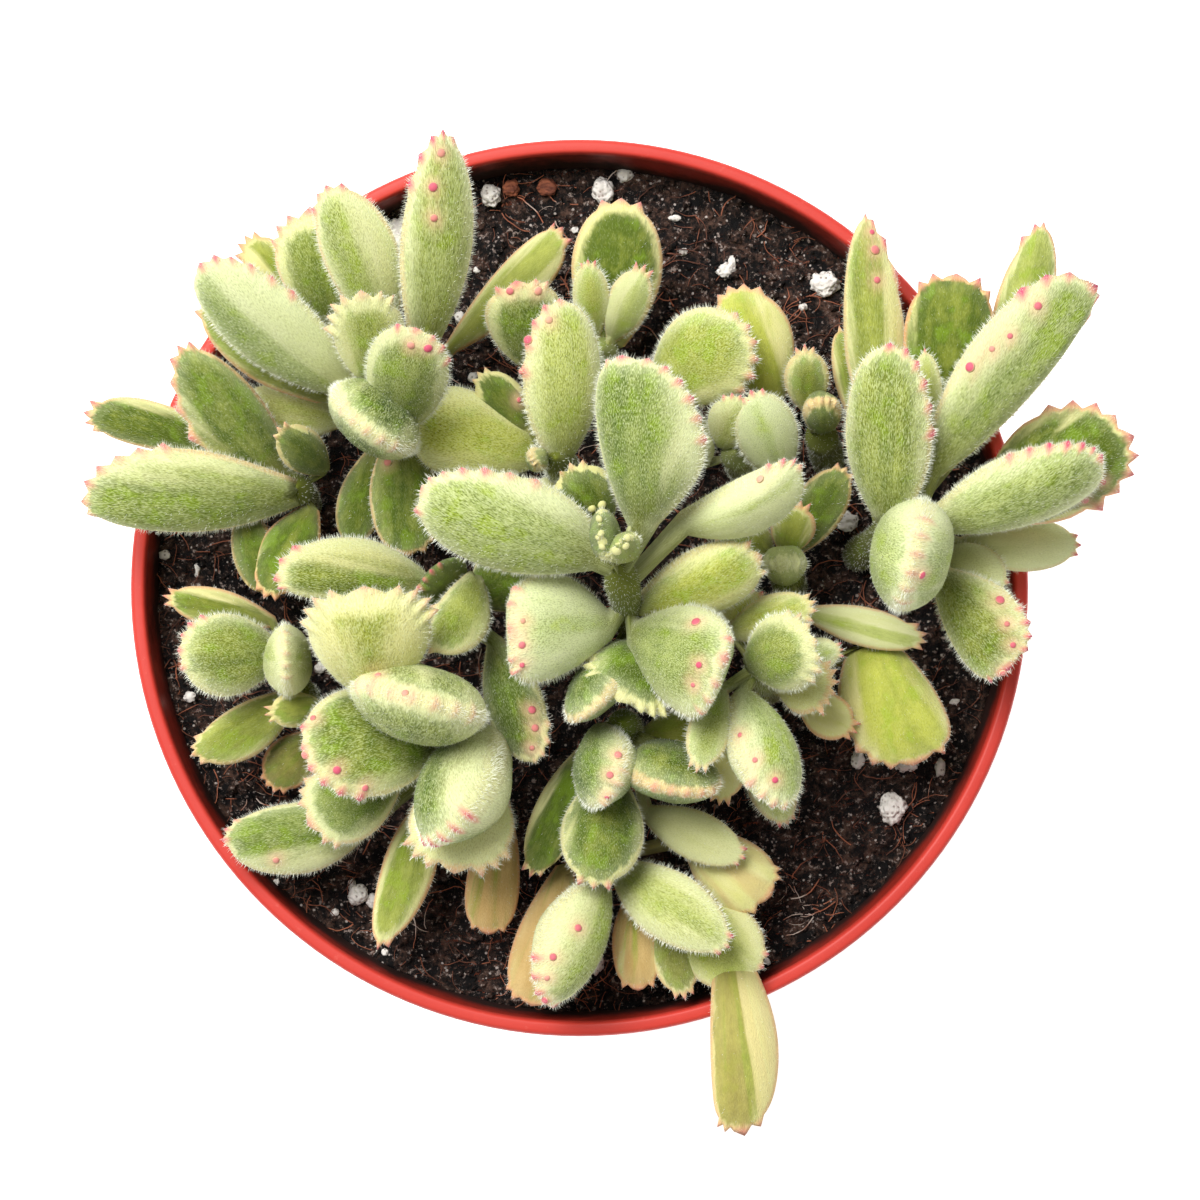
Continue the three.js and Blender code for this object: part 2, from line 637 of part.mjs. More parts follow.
        teeth: [3, 0],
      },
      { root: [590, 745], tip: [532, 872], wide: 50, low: 101, high: 105, teeth: [1, 1] },
      { root: [612, 775], tip: [594, 884], wide: 84, low: 105, high: 111, teeth: [1, 1] },
      { root: [655, 755], ridge: [[637, 783], [737, 803]], thick: 50, low: 106, high: 118, teeth: [2, 2] },
      { root: [640, 740], tip: [720, 730], wide: 56, low: 99, high: 103, teeth: [1, 1] },
      { root: [645, 812], tip: [742, 857], wide: 50, low: 100, high: 104, teeth: [1, 1] },
    ],
  },
  {
    name: 'leafy_stem_south',
    stemPoints: [[612, 862, 90], [606, 850, 105]],
    leaves: [
      {
        root: [622, 872], tip: [727, 946], wide: 70, low: 102, high: 108, broad: [0.5, 0.42],
        point: [1.1, 1.1], foot: 0.6, teeth: [1, 1],
      },
      {
        root: [598, 880], tip: [546, 1002], wide: 76, thick: 56, low: 103, high: 110, roll: -40,
        full: [0.85, 1.15], teeth: [1, 3],
      },
      {
        root: [565, 868], tip: [532, 1002], wide: 66, low: 97, high: 99, broad: [0.7, 0.7],
        point: [0.5, 0.5], teeth: [2, 2],
      },
      { root: [636, 890], tip: [638, 986], wide: 50, low: 97, high: 99, point: [0.5, 0.5], teeth: [1, 1] },
      { root: [662, 905], tip: [684, 994], wide: 48, low: 96, high: 98, teeth: [1, 1] },
      {
        root: [690, 903], tip: [748, 979], wide: 84, low: 97, high: 101, point: [0.75, 0.75],
        teeth: [2, 2],
      },
      {
        root: [728, 960], tip: [744, 1128], wide: 70, low: 99, high: 104, full: [1.2, 0.8],
        broad: [0.5, 0.8], point: [0.9, 0.4], foot: 0.75, teeth: [1, 2],
      },
      {
        root: [690, 835], tip: [768, 893], wide: 84, low: 96.5, high: 100, full: [0.75, 1],
        broad: [0.65, 0.65], point: [0.5, 0.55], teeth: [2, 1],
      },
    ],
  },
];

// Leaf clearing. Each surface is noted in 1 mm columns, as the span of heights that it fills there.

function columnsOf(geometry) {
  const columns = new Map();
  const note = (point) => {
    const key = `${Math.floor(point.x)},${Math.floor(point.y)}`;
    const span = columns.get(key) ?? [Infinity, -Infinity];
    columns.set(key, [Math.min(span[0], point.z), Math.max(span[1], point.z)]);
  };
  const { position } = (geometry.index ? geometry.toNonIndexed() : geometry).attributes;
  const corners = [new THREE.Vector3(), new THREE.Vector3(), new THREE.Vector3()];
  for (let i = 0; i < position.count; i += 3) {
    corners.forEach((corner, k) => corner.fromBufferAttribute(position, i + k));
    const reach = Math.max(corners[0].distanceTo(corners[1]), corners[0].distanceTo(corners[2]));
    const steps = Math.max(1, Math.ceil(reach / 0.5));
    for (let a = 0; a <= steps; a += 1) {
      for (let b = 0; a + b <= steps; b += 1) {
        const point = corners[0].clone().multiplyScalar(1 - (a + b) / steps);
        note(point.addScaledVector(corners[1], a / steps).addScaledVector(corners[2], b / steps));
      }
    }
  }
  return columns;
}

// What a leaf has to stay clear of: for each column, spans that each belong to a shoot or the pot.
class FilledSpace {
  constructor() {
    this.columns = new Map();
  }

  add(owner, columns, shift = 0) {
    for (const [key, [low, high]] of columns) {
      if (!this.columns.has(key)) this.columns.set(key, []);
      this.columns.get(key).push({ owner, low: low + shift, high: high + shift });
    }
  }

  isClear(owner, columns, shift) {
    for (const [key, [low, high]] of columns) {
      for (const span of this.columns.get(key) ?? []) {
        const apart = low + shift - CLEARANCE > span.high || high + shift + CLEARANCE < span.low;
        if (span.owner !== owner && !apart) return false;
      }
    }
    return true;
  }
}

function potAndSoilColumns() {
  const columns = new Map();
  for (let x = -RIM_RADIUS - 1; x <= RIM_RADIUS; x += 1) {
    for (let y = -RIM_RADIUS - 1; y <= RIM_RADIUS; y += 1) {
      const radius = Math.hypot(x + 0.5, y + 0.5);
      if (radius > RIM_RADIUS + 1) continue;
      const top = radius > RIM_RADIUS - LIP_WIDTH - 2.2 ? POT_HEIGHT : SOIL_TOP + SOIL_ROUGHNESS;
      columns.set(`${x},${y}`, [0, top]);
    }
  }
  return columns;
}

// The shortest slide, up or down, that clears every other shoot. Downward is tried first.
function clearShift(filled, owner, columns) {
  for (let size = 0; size <= MOST_SHIFT; size += SHIFT_STEP) {
    if (filled.isClear(owner, columns, -size)) return -size;
    if (filled.isClear(owner, columns, size)) return size;
  }
  throw new Error(`a leaf of ${owner} has no clear place`);
}

// Slides each leaf up or down its stem, from the highest leaf to the lowest.
function clearLeaves(shoots) {
  const filled = new FilledSpace();
  filled.add('pot', potAndSoilColumns());
  for (const shoot of shoots) filled.add(shoot.name, columnsOf(shoot.stem.geometry()));
  const leaves = shoots.flatMap((shoot) => shoot.leaves.map((leaf) => ({ shoot, leaf })));
  leaves.sort((a, b) => (b.leaf.low + b.leaf.high) - (a.leaf.low + a.leaf.high));
  for (const { shoot, leaf } of leaves) {
    const columns = columnsOf(leafGeometry(leaf, shoot.stem));
    leaf.shift = clearShift(filled, shoot.name, columns);
    filled.add(shoot.name, columns, leaf.shift);
  }
}

// Every leaf gets its own seed and starts unshifted.
let leafSeed = FIRST_LEAF_SEED;
const shoots = SHOOTS.map((shoot) => ({
  name: shoot.name,
  stem: new Stem(shoot.stemPoints),
  leaves: shoot.leaves.map((leaf) => {
    leafSeed += LEAF_SEED_STEP;
    return { ...leaf, seed: leafSeed, shift: 0 };
  }),
}));
clearLeaves(shoots);

// The stem and its leaves in one outer skin, without any hollow that their joining seals.
function shootSolid(shoot) {
  let solid = solidFromGeometry(shoot.stem.geometry());
  for (const leaf of shoot.leaves) {
    solid = solid.add(solidFromGeometry(leafGeometry(leaf, shoot.stem)));
  }
  return solid.decompose().reduce((largest, piece) => (piece.volume() > largest.volume() ? piece : largest));
}

// Pot and soil

function latheSolid(profile, sides) {
  const outline = [...profile, profile[0]].map(([radius, z]) => new THREE.Vector2(radius, z));
  const geometry = new THREE.LatheGeometry(outline, sides);
  geometry.rotateX(Math.PI / 2);
  return solidFromGeometry(geometry);
}

// The inside radius of the pot's wall at a height.
function insideRadius(z) {
  const skirtBottom = POT_HEIGHT - LIP_SKIRT;
  const topRadius = RIM_RADIUS - LIP_WIDTH;
  const shoulderRadius = topRadius - RIM_LEAN * LIP_SKIRT;
  if (z > skirtBottom) return topRadius - RIM_LEAN * (POT_HEIGHT - z);
  const share = (z - FLOOR_THICKNESS) / (skirtBottom - FLOOR_THICKNESS);
  return FLOOR_RADIUS - WALL + share * (shoulderRadius - FLOOR_RADIUS + WALL);
}

function potSolid() {
  const skirtBottom = POT_HEIGHT - LIP_SKIRT;
  let solid = latheSolid([
    [0, 0],
    [FLOOR_RADIUS - 1, 0],
    [FLOOR_RADIUS, 1],
    [insideRadius(skirtBottom) + WALL, skirtBottom],
    [RIM_RADIUS - 0.5, skirtBottom + 0.4],
    [RIM_RADIUS, POT_HEIGHT - 0.9],
    [RIM_RADIUS - 0.5, POT_HEIGHT],
    [RIM_RADIUS - LIP_WIDTH + 0.3, POT_HEIGHT],
    [insideRadius(POT_HEIGHT - 0.6), POT_HEIGHT - 0.6],
    [insideRadius(skirtBottom), skirtBottom],
    [insideRadius(FLOOR_THICKNESS), FLOOR_THICKNESS],
    [0, FLOOR_THICKNESS],
  ], POT_SIDES);
  for (let i = 0; i < DRAIN_COUNT; i += 1) {
    const angle = (i * 2 * Math.PI) / DRAIN_COUNT;
    const drill = new THREE.CylinderGeometry(DRAIN_RADIUS, DRAIN_RADIUS, 3 * FLOOR_THICKNESS, 12);
    drill.rotateX(Math.PI / 2);
    drill.translate(DRAIN_CIRCLE * Math.cos(angle), DRAIN_CIRCLE * Math.sin(angle), FLOOR_THICKNESS / 2);
    solid = solid.subtract(solidFromGeometry(drill));
  }
  return solid;
}

// The soil's crumbly top, as the height over its mean level.
function soilRelief(x, y) {
  const broad = Math.sin(0.31 * x + 1.3) * Math.cos(0.27 * y - 0.4);
  const fine = Math.sin(0.83 * x - 0.5 * y) * Math.sin(0.71 * y + 0.33 * x + 2);
  return SOIL_ROUGHNESS * (0.6 * broad + 0.4 * fine);
}

// A turned filling whose flat top is raised by the relief.
function soilSolid() {
  const rimRadius = insideRadius(SOIL_TOP) - GAP;
  const skirtBottom = POT_HEIGHT - LIP_SKIRT;
  const profile = [
    [0, FLOOR_THICKNESS + GAP],
    [insideRadius(FLOOR_THICKNESS + GAP) - GAP, FLOOR_THICKNESS + GAP],
    [insideRadius(skirtBottom) - GAP, skirtBottom],
  ];
  for (let ring = SOIL_RINGS; ring >= 0; ring -= 1) {
    profile.push([(rimRadius * ring) / SOIL_RINGS, SOIL_TOP]);
  }
  const outline = profile.map(([radius, z]) => new THREE.Vector2(radius, z));
  const geometry = new THREE.LatheGeometry(outline, SOIL_SIDES);
  geometry.rotateX(Math.PI / 2);
  const { position } = geometry.attributes;
  for (let i = 0; i < position.count; i += 1) {
    if (position.getZ(i) > SOIL_TOP - 1 && Math.hypot(position.getX(i), position.getY(i)) < rimRadius - 1) {
      position.setZ(i, SOIL_TOP + soilRelief(position.getX(i), position.getY(i)));
    }
  }
  return solidFromGeometry(geometry);
}

// Perlite grains and bark chips: pixel place, and length, width and height in millimetres.
const GRAINS = [
  { name: 'perlite_grain_1', at: [487, 182], size: [3.4, 3.2, 2.6], turn: 20 },
  { name: 'perlite_grain_2', at: [603, 178], size: [4.6, 2.9, 2.6], turn: 110 },
  { name: 'perlite_grain_3', at: [390, 216], size: [4.6, 2.7, 2.4], turn: 75 },
  { name: 'perlite_grain_4', at: [825, 285], size: [4.8, 4.1, 3.2], turn: 15 },
  { name: 'perlite_grain_5', at: [847, 520], size: [3.2, 3.0, 2.4], turn: 50 },
  { name: 'perlite_grain_6', at: [727, 270], size: [3.2, 2, 2], turn: 140 },
  { name: 'perlite_grain_7', at: [892, 810], size: [5.6, 4.4, 3.2], turn: 100 },
  { name: 'perlite_grain_8', at: [905, 766], size: [3.8, 2, 2], turn: 5 },
  { name: 'perlite_grain_9', at: [597, 962], size: [3.8, 2.2, 2.2], turn: 85 },
  { name: 'perlite_grain_10', at: [358, 896], size: [3.4, 2.8, 2.4], turn: 25 },
  { name: 'bark_chip_1', at: [507, 167], size: [2.6, 2.2, 1.8], turn: 10, bark: true },
  { name: 'bark_chip_2', at: [545, 166], size: [3.6, 2, 1.8], turn: 20, bark: true },
  { name: 'bark_chip_3', at: [184, 660], size: [5, 3, 2], turn: 80, bark: true },
];

// An irregular lump: a sphere of few faces with each corner drawn in or out.
function grainGeometry(grain, seed, growth) {
  const draw = seededRandom(seed);
  const geometry = new THREE.IcosahedronGeometry(1, 0);
  geometry.deleteAttribute('normal');
  geometry.deleteAttribute('uv');
  const lump = mergeVertices(geometry, 1e-4);
  const { position } = lump.attributes;
  const [length, width, height] = grain.size;
  for (let i = 0; i < position.count; i += 1) {
    const reach = 0.5 * (0.82 + 0.3 * draw());
    const corner = new THREE.Vector3().fromBufferAttribute(position, i).multiplyScalar(reach);
    corner.multiply(new THREE.Vector3(length + growth, width + growth, height + growth));
    position.setXYZ(i, corner.x, corner.y, corner.z);
  }
  const place = seenAt(grain.at, SOIL_TOP).setZ(0);
  place.clampLength(0, insideRadius(SOIL_TOP) - length / 2 - 2 * GAP);
  lump.rotateZ(THREE.MathUtils.degToRad(grain.turn));
  lump.translate(place.x, place.y, SOIL_TOP + GRAIN_RISE * height);
  return lump;
}

function stemHole(shoot) {
  const foot = shoot.stem.getFoot();
  const depth = STEM_DEPTH + 6;
  const radius = STEM_RADIUS + 1.5 * GAP;
  const hole = new THREE.CylinderGeometry(radius, radius, depth, 8);
  hole.rotateX(Math.PI / 2);
  hole.translate(foot.x, foot.y, foot.z - GAP + depth / 2);
  return solidFromGeometry(hole);
}

// Materials

const potRed = new THREE.MeshStandardMaterial({ color: '#d8453c', roughness: 0.35, metalness: 0 });
const peat = new THREE.MeshStandardMaterial({ color: '#231a17', roughness: 0.95, metalness: 0 });
const leafGreen = new THREE.MeshStandardMaterial({ color: '#a3b573', roughness: 0.75, metalness: 0 });
const perlite = new THREE.MeshStandardMaterial({ color: '#ece8e0', roughness: 0.9, metalness: 0 });
const bark = new THREE.MeshStandardMaterial({ color: '#b5602c', roughness: 0.85, metalness: 0 });

// Assembly

const plant = new THREE.Group();
let soil = soilSolid();
plant.add(meshFromSolid('pot', potSolid(), potRed));
for (const shoot of shoots) {
  soil = soil.subtract(stemHole(shoot));
  plant.add(meshFromSolid(shoot.name, shootSolid(shoot), leafGreen));
}
GRAINS.forEach((grain, index) => {
  const seed = FIRST_GRAIN_SEED + GRAIN_SEED_STEP * index;
  soil = soil.subtract(solidFromGeometry(grainGeometry(grain, seed, SEAT_GROWTH)));
  const solid = solidFromGeometry(grainGeometry(grain, seed, 0));
  plant.add(meshFromSolid(grain.name, solid, grain.bark ? bark : perlite));
});
plant.add(meshFromSolid('soil', soil, peat));

export default plant;
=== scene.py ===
# %% [markdown]
# # A potted bears paw, leaf by leaf
# The plant is a small furry succulent in a round red nursery pot, seen from straight above. Its leaves are
# plump, green with cream edges, and end in little pink-tipped claws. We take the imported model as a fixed
# frame and dress it: finer leaves with markings, hairs, crumbly peat, porous perlite and moulded plastic.

# %% Frame, tools and the model's own box
import math

import bmesh
import bpy
import numpy as np
from mathutils import Matrix, Vector, noise
from mathutils.bvhtree import BVHTree
from mathutils.kdtree import KDTree


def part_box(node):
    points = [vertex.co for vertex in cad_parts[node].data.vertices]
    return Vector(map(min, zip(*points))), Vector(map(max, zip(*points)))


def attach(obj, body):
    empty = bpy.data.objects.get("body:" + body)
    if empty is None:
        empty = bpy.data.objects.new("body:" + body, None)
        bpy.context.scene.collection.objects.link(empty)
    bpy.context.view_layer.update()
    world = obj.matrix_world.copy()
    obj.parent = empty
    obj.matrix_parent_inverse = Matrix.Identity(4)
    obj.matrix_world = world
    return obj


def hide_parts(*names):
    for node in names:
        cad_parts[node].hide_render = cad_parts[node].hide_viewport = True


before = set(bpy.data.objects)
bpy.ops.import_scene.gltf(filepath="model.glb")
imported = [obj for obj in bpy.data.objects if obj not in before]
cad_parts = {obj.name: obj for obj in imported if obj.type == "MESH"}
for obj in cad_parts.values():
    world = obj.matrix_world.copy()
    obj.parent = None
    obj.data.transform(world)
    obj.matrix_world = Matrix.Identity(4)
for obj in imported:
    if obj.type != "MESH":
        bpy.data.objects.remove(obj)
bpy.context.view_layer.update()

MM = 0.001
print("CAD nodes:", len(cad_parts))

# %% [markdown]
# ## The view
# The photograph looks straight down, two degrees off the vertical. The same numbers place the camera and
# turn a pixel with a height into a point, so every leaf can be written down as where it is seen.

# %% The view's numbers
POT_HEIGHT = 98.0
RIM_RADIUS = 57.0
PICTURE = 1200
EYE_DISTANCE = 480.0
MM_PER_PIXEL = RIM_RADIUS / 450
TILT = math.radians(2)
TARGET = np.array((2.6, -1.8, POT_HEIGHT))
BACK = np.array((0, -math.sin(TILT), math.cos(TILT)))
UPRIGHT = np.array((0, math.cos(TILT), math.sin(TILT)))
EYE = TARGET + BACK * EYE_DISTANCE
UP = np.array((0.0, 0.0, 1.0))


def unit(vector):
    return vector / np.linalg.norm(vector)


def ray_through(pixel):
    """The direction from the eye through a pixel of the picture."""
    scale = MM_PER_PIXEL / EYE_DISTANCE
    ray = -BACK + UPRIGHT * (PICTURE / 2 - pixel[1]) * scale
    ray[0] += (pixel[0] - PICTURE / 2) * scale
    return ray


def seen_at(pixel, z):
    """The point at height z, in millimetres, that the picture shows at a pixel."""
    ray = ray_through(pixel)
    return EYE + ray * ((z - EYE[2]) / ray[2])


def pixels_to_mm(pixels, z):
    return pixels * MM_PER_PIXEL * (EYE_DISTANCE - (z - POT_HEIGHT)) / EYE_DISTANCE


# %% Camera
SENSOR = 36.0
LENS = EYE_DISTANCE * SENSOR / (PICTURE * MM_PER_PIXEL)

camera = bpy.data.objects.new("camera", bpy.data.cameras.new("camera"))
camera.data.sensor_width = SENSOR
camera.data.lens = LENS
camera.data.clip_start = 0.01
camera.location = Vector(EYE * MM)
camera.rotation_euler = (TILT, 0, 0)
bpy.context.scene.collection.objects.link(camera)
bpy.context.scene.camera = camera
print("Lens:", round(LENS, 2), "mm")

# %% [markdown]
# ## Light and floor
# A shop photograph of a plant is made under large soft lights on white paper. One wide panel overhead gives
# the leaves their soft modelling, and a bright even surrounding fills the gaps between them.

# %% Light and floor
KEY_PANEL = {"size": 0.5, "energy": 12.2, "place": (-0.3, 0.36, 0.9)}
SURROUND_STRENGTH = 0.4


def soft_panel(name, size, energy, place):
    light = bpy.data.lights.new(name, "AREA")
    light.size = size
    light.energy = energy
    panel = bpy.data.objects.new(name, light)
    panel.location = place
    towards = Vector((0, 0, POT_HEIGHT * MM)) - panel.location
    panel.rotation_euler = towards.to_track_quat("-Z", "Y").to_euler()
    bpy.context.scene.collection.objects.link(panel)


soft_panel("key_panel", **KEY_PANEL)
world = bpy.data.worlds.new("studio")
world.use_nodes = True
background = world.node_tree.nodes["Background"].inputs
background["Color"].default_value = (1, 1, 1, 1)
background["Strength"].default_value = SURROUND_STRENGTH
bpy.context.scene.world = world
bpy.context.scene.view_settings.view_transform = "Standard"

# %% [markdown]
# ## Writing materials as sums
# A material here is mostly arithmetic: masks are multiplied, subtracted and blended. Wiring each Math node
# by hand hides that, so a small class stands for an output socket and Python's own operators add the nodes.


# %% Sockets that can be added and multiplied
class Wire:
    """One output socket of a node tree, for use in sums."""

    def __init__(self, sheet, socket):
        self.sheet = sheet
        self.socket = socket

    def __add__(self, other):
        return self.sheet.math("ADD", self, other)

    def __sub__(self, other):
        return self.sheet.math("SUBTRACT", self, other)

    def __rsub__(self, other):
        return self.sheet.math("SUBTRACT", other, self)

    def __mul__(self, other):
        return self.sheet.math("MULTIPLY", self, other)

    def __truediv__(self, other):
        return self.sheet.math("DIVIDE", self, other)

    def __pow__(self, other):
        return self.sheet.math("POWER", self, other)

    __radd__ = __add__


class Sheet:
    """A node tree, shader or geometry, and the few ways in which this lesson adds to it."""

    def __init__(self, tree):
        self.tree = tree

    def plug(self, socket, value):
        if isinstance(value, Wire):
            self.tree.links.new(value.socket, socket)
        else:
            socket.default_value = value

    def node(self, kind, settings=None, sockets=None, output=0):
        """Adds a node: its settings first, then its sockets by name or number. Gives one output."""
        node = self.tree.nodes.new(kind)
        for name, value in (settings or {}).items():
            setattr(node, name, value)
        for name, value in (sockets or {}).items():
            self.plug(node.inputs[name], value)
        return Wire(self, node.outputs[output])

    def math(self, operation, *values):
        return self.node("ShaderNodeMath", {"operation": operation}, dict(enumerate(values)))

    def clamp(self, value):
        return self.node("ShaderNodeClamp", {}, {"Value": value})

    def either(self, one, other):
        """Where one mask or the other is set."""
        return self.math("MAXIMUM", one, other)

    def step(self, value, low, high):
        """A smooth step from 0 at low to 1 at high. Low may be the larger one."""
        sockets = {"Value": value, "From Min": low, "From Max": high}
        return self.node("ShaderNodeMapRange", {"interpolation_type": "SMOOTHSTEP"}, sockets)

    def blend(self, mask, low, high):
        """Mixes two colours, wires or web codes: low where the mask is 0, high where it is 1."""
        low, high = (colour(c) if isinstance(c, str) else c for c in (low, high))
        return self.node("ShaderNodeMix", {"data_type": "RGBA"}, {0: mask, 6: low, 7: high}, 2)

    def shade(self, tint, value, saturation=1.0):
        """The same colour, darker or duller."""
        sockets = {"Color": tint, "Value": value, "Saturation": saturation}
        return self.node("ShaderNodeHueSaturation", {}, sockets)

    def vector(self, x, y, z):
        return self.node("ShaderNodeCombineXYZ", {}, {"X": x, "Y": y, "Z": z})

    def vectors(self, operation, one, other):
        return self.node("ShaderNodeVectorMath", {"operation": operation}, {0: one, 1: other})

    def cells(self, vector, scale):
        """The distance to the nearest of many scattered points, for round spots."""
        return self.node("ShaderNodeTexVoronoi", {}, {"Vector": vector, "Scale": scale}, "Distance")

    def noise(self, vector, scale=1.0, detail=2.0, roughness=0.5):
        sockets = {"Vector": vector, "Scale": scale, "Detail": detail, "Roughness": roughness}
        return self.node("ShaderNodeTexNoise", {}, sockets)

    def attributes(self, names):
        """The mesh's own numbers under these names, given as one string."""
        return [self.node("ShaderNodeAttribute", {"attribute_name": n}, {}, "Fac") for n in names.split()]

    def place(self):
        return self.node("ShaderNodeTexCoord", {}, {}, "Object")

    def bump(self, height, distance, strength=1.0):
        sockets = {"Height": height, "Distance": distance, "Strength": strength}
        return self.node("ShaderNodeBump", {}, sockets)


# %% Colours and a first material
def colour(code):
    """A linear colour from a web code."""
    parts = [int(code[i:i + 2], 16) / 255 for i in (1, 3, 5)]
    return (*(p / 12.92 if p <= 0.04045 else ((p + 0.055) / 1.055) ** 2.4 for p in parts), 1.0)


def finish(name, **constants):
    """A new material: its sheet, and the sockets of its shader. Constants are set on the shader itself."""
    material = bpy.data.materials.new(name)
    material.use_nodes = True
    shader = material.node_tree.nodes["Principled BSDF"]
    for socket, value in constants.items():
        shader.inputs[socket.replace("_", " ").title().replace("Ior", "IOR")].default_value = value
    return material, Sheet(material.node_tree), shader.inputs


PAPER_GRAIN = 900
FLOOR_SIZE = 6.0
FLOOR_DROP = 0.0002

paper, sheet, shader = finish("white_paper", roughness=0.9, emission_strength=0.8)
grain = sheet.noise(sheet.place(), PAPER_GRAIN, detail=3)
sheet.plug(shader["Base Color"], sheet.blend(grain, "#f6f6f4", "#fbfbfa"))
shader["Emission Color"].default_value = colour("#ffffff")

bpy.ops.mesh.primitive_plane_add(size=FLOOR_SIZE, location=(0, 0, -FLOOR_DROP))
floor = bpy.context.object
floor.name = "floor"
floor.data.materials.append(paper)

# %% [markdown]
# ## Putting a mesh together
# Points, faces and their attributes are worked out as NumPy arrays in millimetres and handed to Blender in
# one go. Every piece rides on the one body, and keeps its place in its mesh.


# %% Mesh and piece helpers
def mesh_object(name, points, faces, material, attributes=None):
    """A smooth mesh object from points in millimetres, with a number per point for each attribute."""
    mesh = bpy.data.meshes.new(name)
    mesh.from_pydata((np.asarray(points) * MM).tolist(), [], [list(map(int, f)) for f in faces])
    for key, values in (attributes or {}).items():
        store = mesh.attributes.new(key, "FLOAT", "POINT")
        store.data.foreach_set("value", np.asarray(values, np.float32))
    mesh.polygons.foreach_set("use_smooth", [True] * len(mesh.polygons))
    mesh.materials.append(material)
    piece = bpy.data.objects.new(name, mesh)
    bpy.context.scene.collection.objects.link(piece)
    return piece


def triangle_count(piece):
    return sum(len(face.vertices) - 2 for face in piece.data.polygons)


def keep(piece, slot, *nodes):
    """Rides a piece on the plant's body and hides the nodes it stands for. Its slot is not used."""
    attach(piece, "root")
    if nodes:
        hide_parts(*nodes)
    print(f"{piece.name}: {triangle_count(piece)} triangles")


class Parts:
    """Gathers several closed surfaces, each with its attributes, for one mesh."""

    def __init__(self):
        self.points = []
        self.faces = []
        self.attributes = {}
        self.count = 0

    def add(self, points, faces, **attributes):
        self.points.append(points)
        self.faces.extend([[i + self.count for i in face] for face in faces])
        for key, values in attributes.items():
            self.attributes.setdefault(key, []).append(np.broadcast_to(values, len(points)))
        self.count += len(points)

    def joined(self):
        """All the points so far, and their attributes."""
        marks = {key: np.concatenate(values) for key, values in self.attributes.items()}
        return np.concatenate(self.points), marks

    def piece(self, name, material):
        points, marks = self.joined()
        return mesh_object(name, points, self.faces, material, marks)


def ring_faces(rings, sides):
    """Faces of a closed tube whose points are a first end, ring after ring, and a last end."""
    last = 1 + rings * sides
    pairs = [(i, (i + 1) % sides) for i in range(sides)]
    faces = [[0, 1 + j, 1 + i] for i, j in pairs]
    for start in range(1, last - sides, sides):
        faces += [[start + i, start + j, start + sides + j, start + sides + i] for i, j in pairs]
    return faces + [[last - sides + i, last - sides + j, last] for i, j in pairs]


def circle(sides):
    """Cosines and sines of even steps round a circle."""
    return [(math.cos(a), math.sin(a)) for a in np.linspace(0, 2 * np.pi, sides, endpoint=False)]


# %% [markdown]
# ## The shape of one leaf
# A bears paw leaf is an egg-shaped paddle, as thick as a bean. We lay a grid over it: rows run from the
# stalk to the tip, and columns from the left margin over the middle to the right. The margin of the round
# end is pushed out into teeth, and the push fades within a millimetre or two, so the blade stays smooth.

# %% Leaf sizes
# Two faces share the thickness. It starts at the thin foot and swells along the blade; across the blade it
# keeps its height and falls off steeply at the margin.
UPPER_SHARE = 0.42
LOWER_SHARE = 0.58
THIN_FOOT = 0.42
SWELLING = 0.58
SWELL_START = 0.1
SWELL_PACE = 0.85
CROWN = 1.12
CROWN_FLATNESS = 2.6
MARGIN_STEEPNESS = 0.62
RIPPLE = 0.16
RIPPLES = (5, 3)
ANY_PHASE = (0, 6)
PLUMPNESS = 0.44
CUP = 0.06
ARCH = 0.12
BROADEST = 0.55
TOOTH_ANGLE = 19
TOOTHED_ANGLE = 84
VALLEY = -0.15
TOOTH_LENGTH = 0.9
TOOTH_CHANGE = (0.75, 1.25)
MOST_TEETH = 9
CLAW_CURVE = 1.2
TOOTHLESS_FADE = 0.8
PUSH_FROM = 0.8
PUSH_CURVE = 1.5
FOOT = 0.4
NARROWER_FOOT = 0.75
STALK_RADIUS = 1.2
STALK_TAPER = 0.8
STALK_ALONG = -0.05
STALK_INSET = 1.5
ROUND_ROWS = 30
FLANK_ROWS = 7
STALK_ROWS = 4
# Rows lean back towards the foot in the blade's middle. The last one runs from the tip down the midline, and
# its two halves are joined there.
MIDLINE_LAG = 0.368
MIDLINE_LEAD = 0.079
MIDLINE_FADE = 1.5
LEFT_COLUMNS = (1, 0.955, 0.88, 0.77, 0.62, 0.44, 0.22)
COLUMNS = np.array((*LEFT_COLUMNS, 0.0, *(-column for column in reversed(LEFT_COLUMNS))))


def thickness_share(u):
    """How thick a leaf is at u, as a share of its greatest thickness."""
    return THIN_FOOT + SWELLING * np.sin(np.pi * np.minimum(1, SWELL_START + SWELL_PACE * u))


def tooth_pitch(teeth):
    return min(TOOTH_ANGLE, TOOTHED_ANGLE / max(1, teeth))


def margin_angles(teeth):
    """Angles on the round end of one side, at every tooth and valley, with the rest in the widest gaps."""
    pitch = tooth_pitch(teeth)
    angles = [0.0, 90.0, *(90 - half * pitch / 4 for half in range(1, 4 * teeth + 3))]
    angles = sorted(set(round(a, 4) for a in angles if a >= 0))
    while len(angles) < ROUND_ROWS:
        widest = max(range(len(angles) - 1), key=lambda i: angles[i + 1] - angles[i])
        angles.insert(widest + 1, (angles[widest] + angles[widest + 1]) / 2)
    return np.array(angles[:ROUND_ROWS - 1] + [90.0])


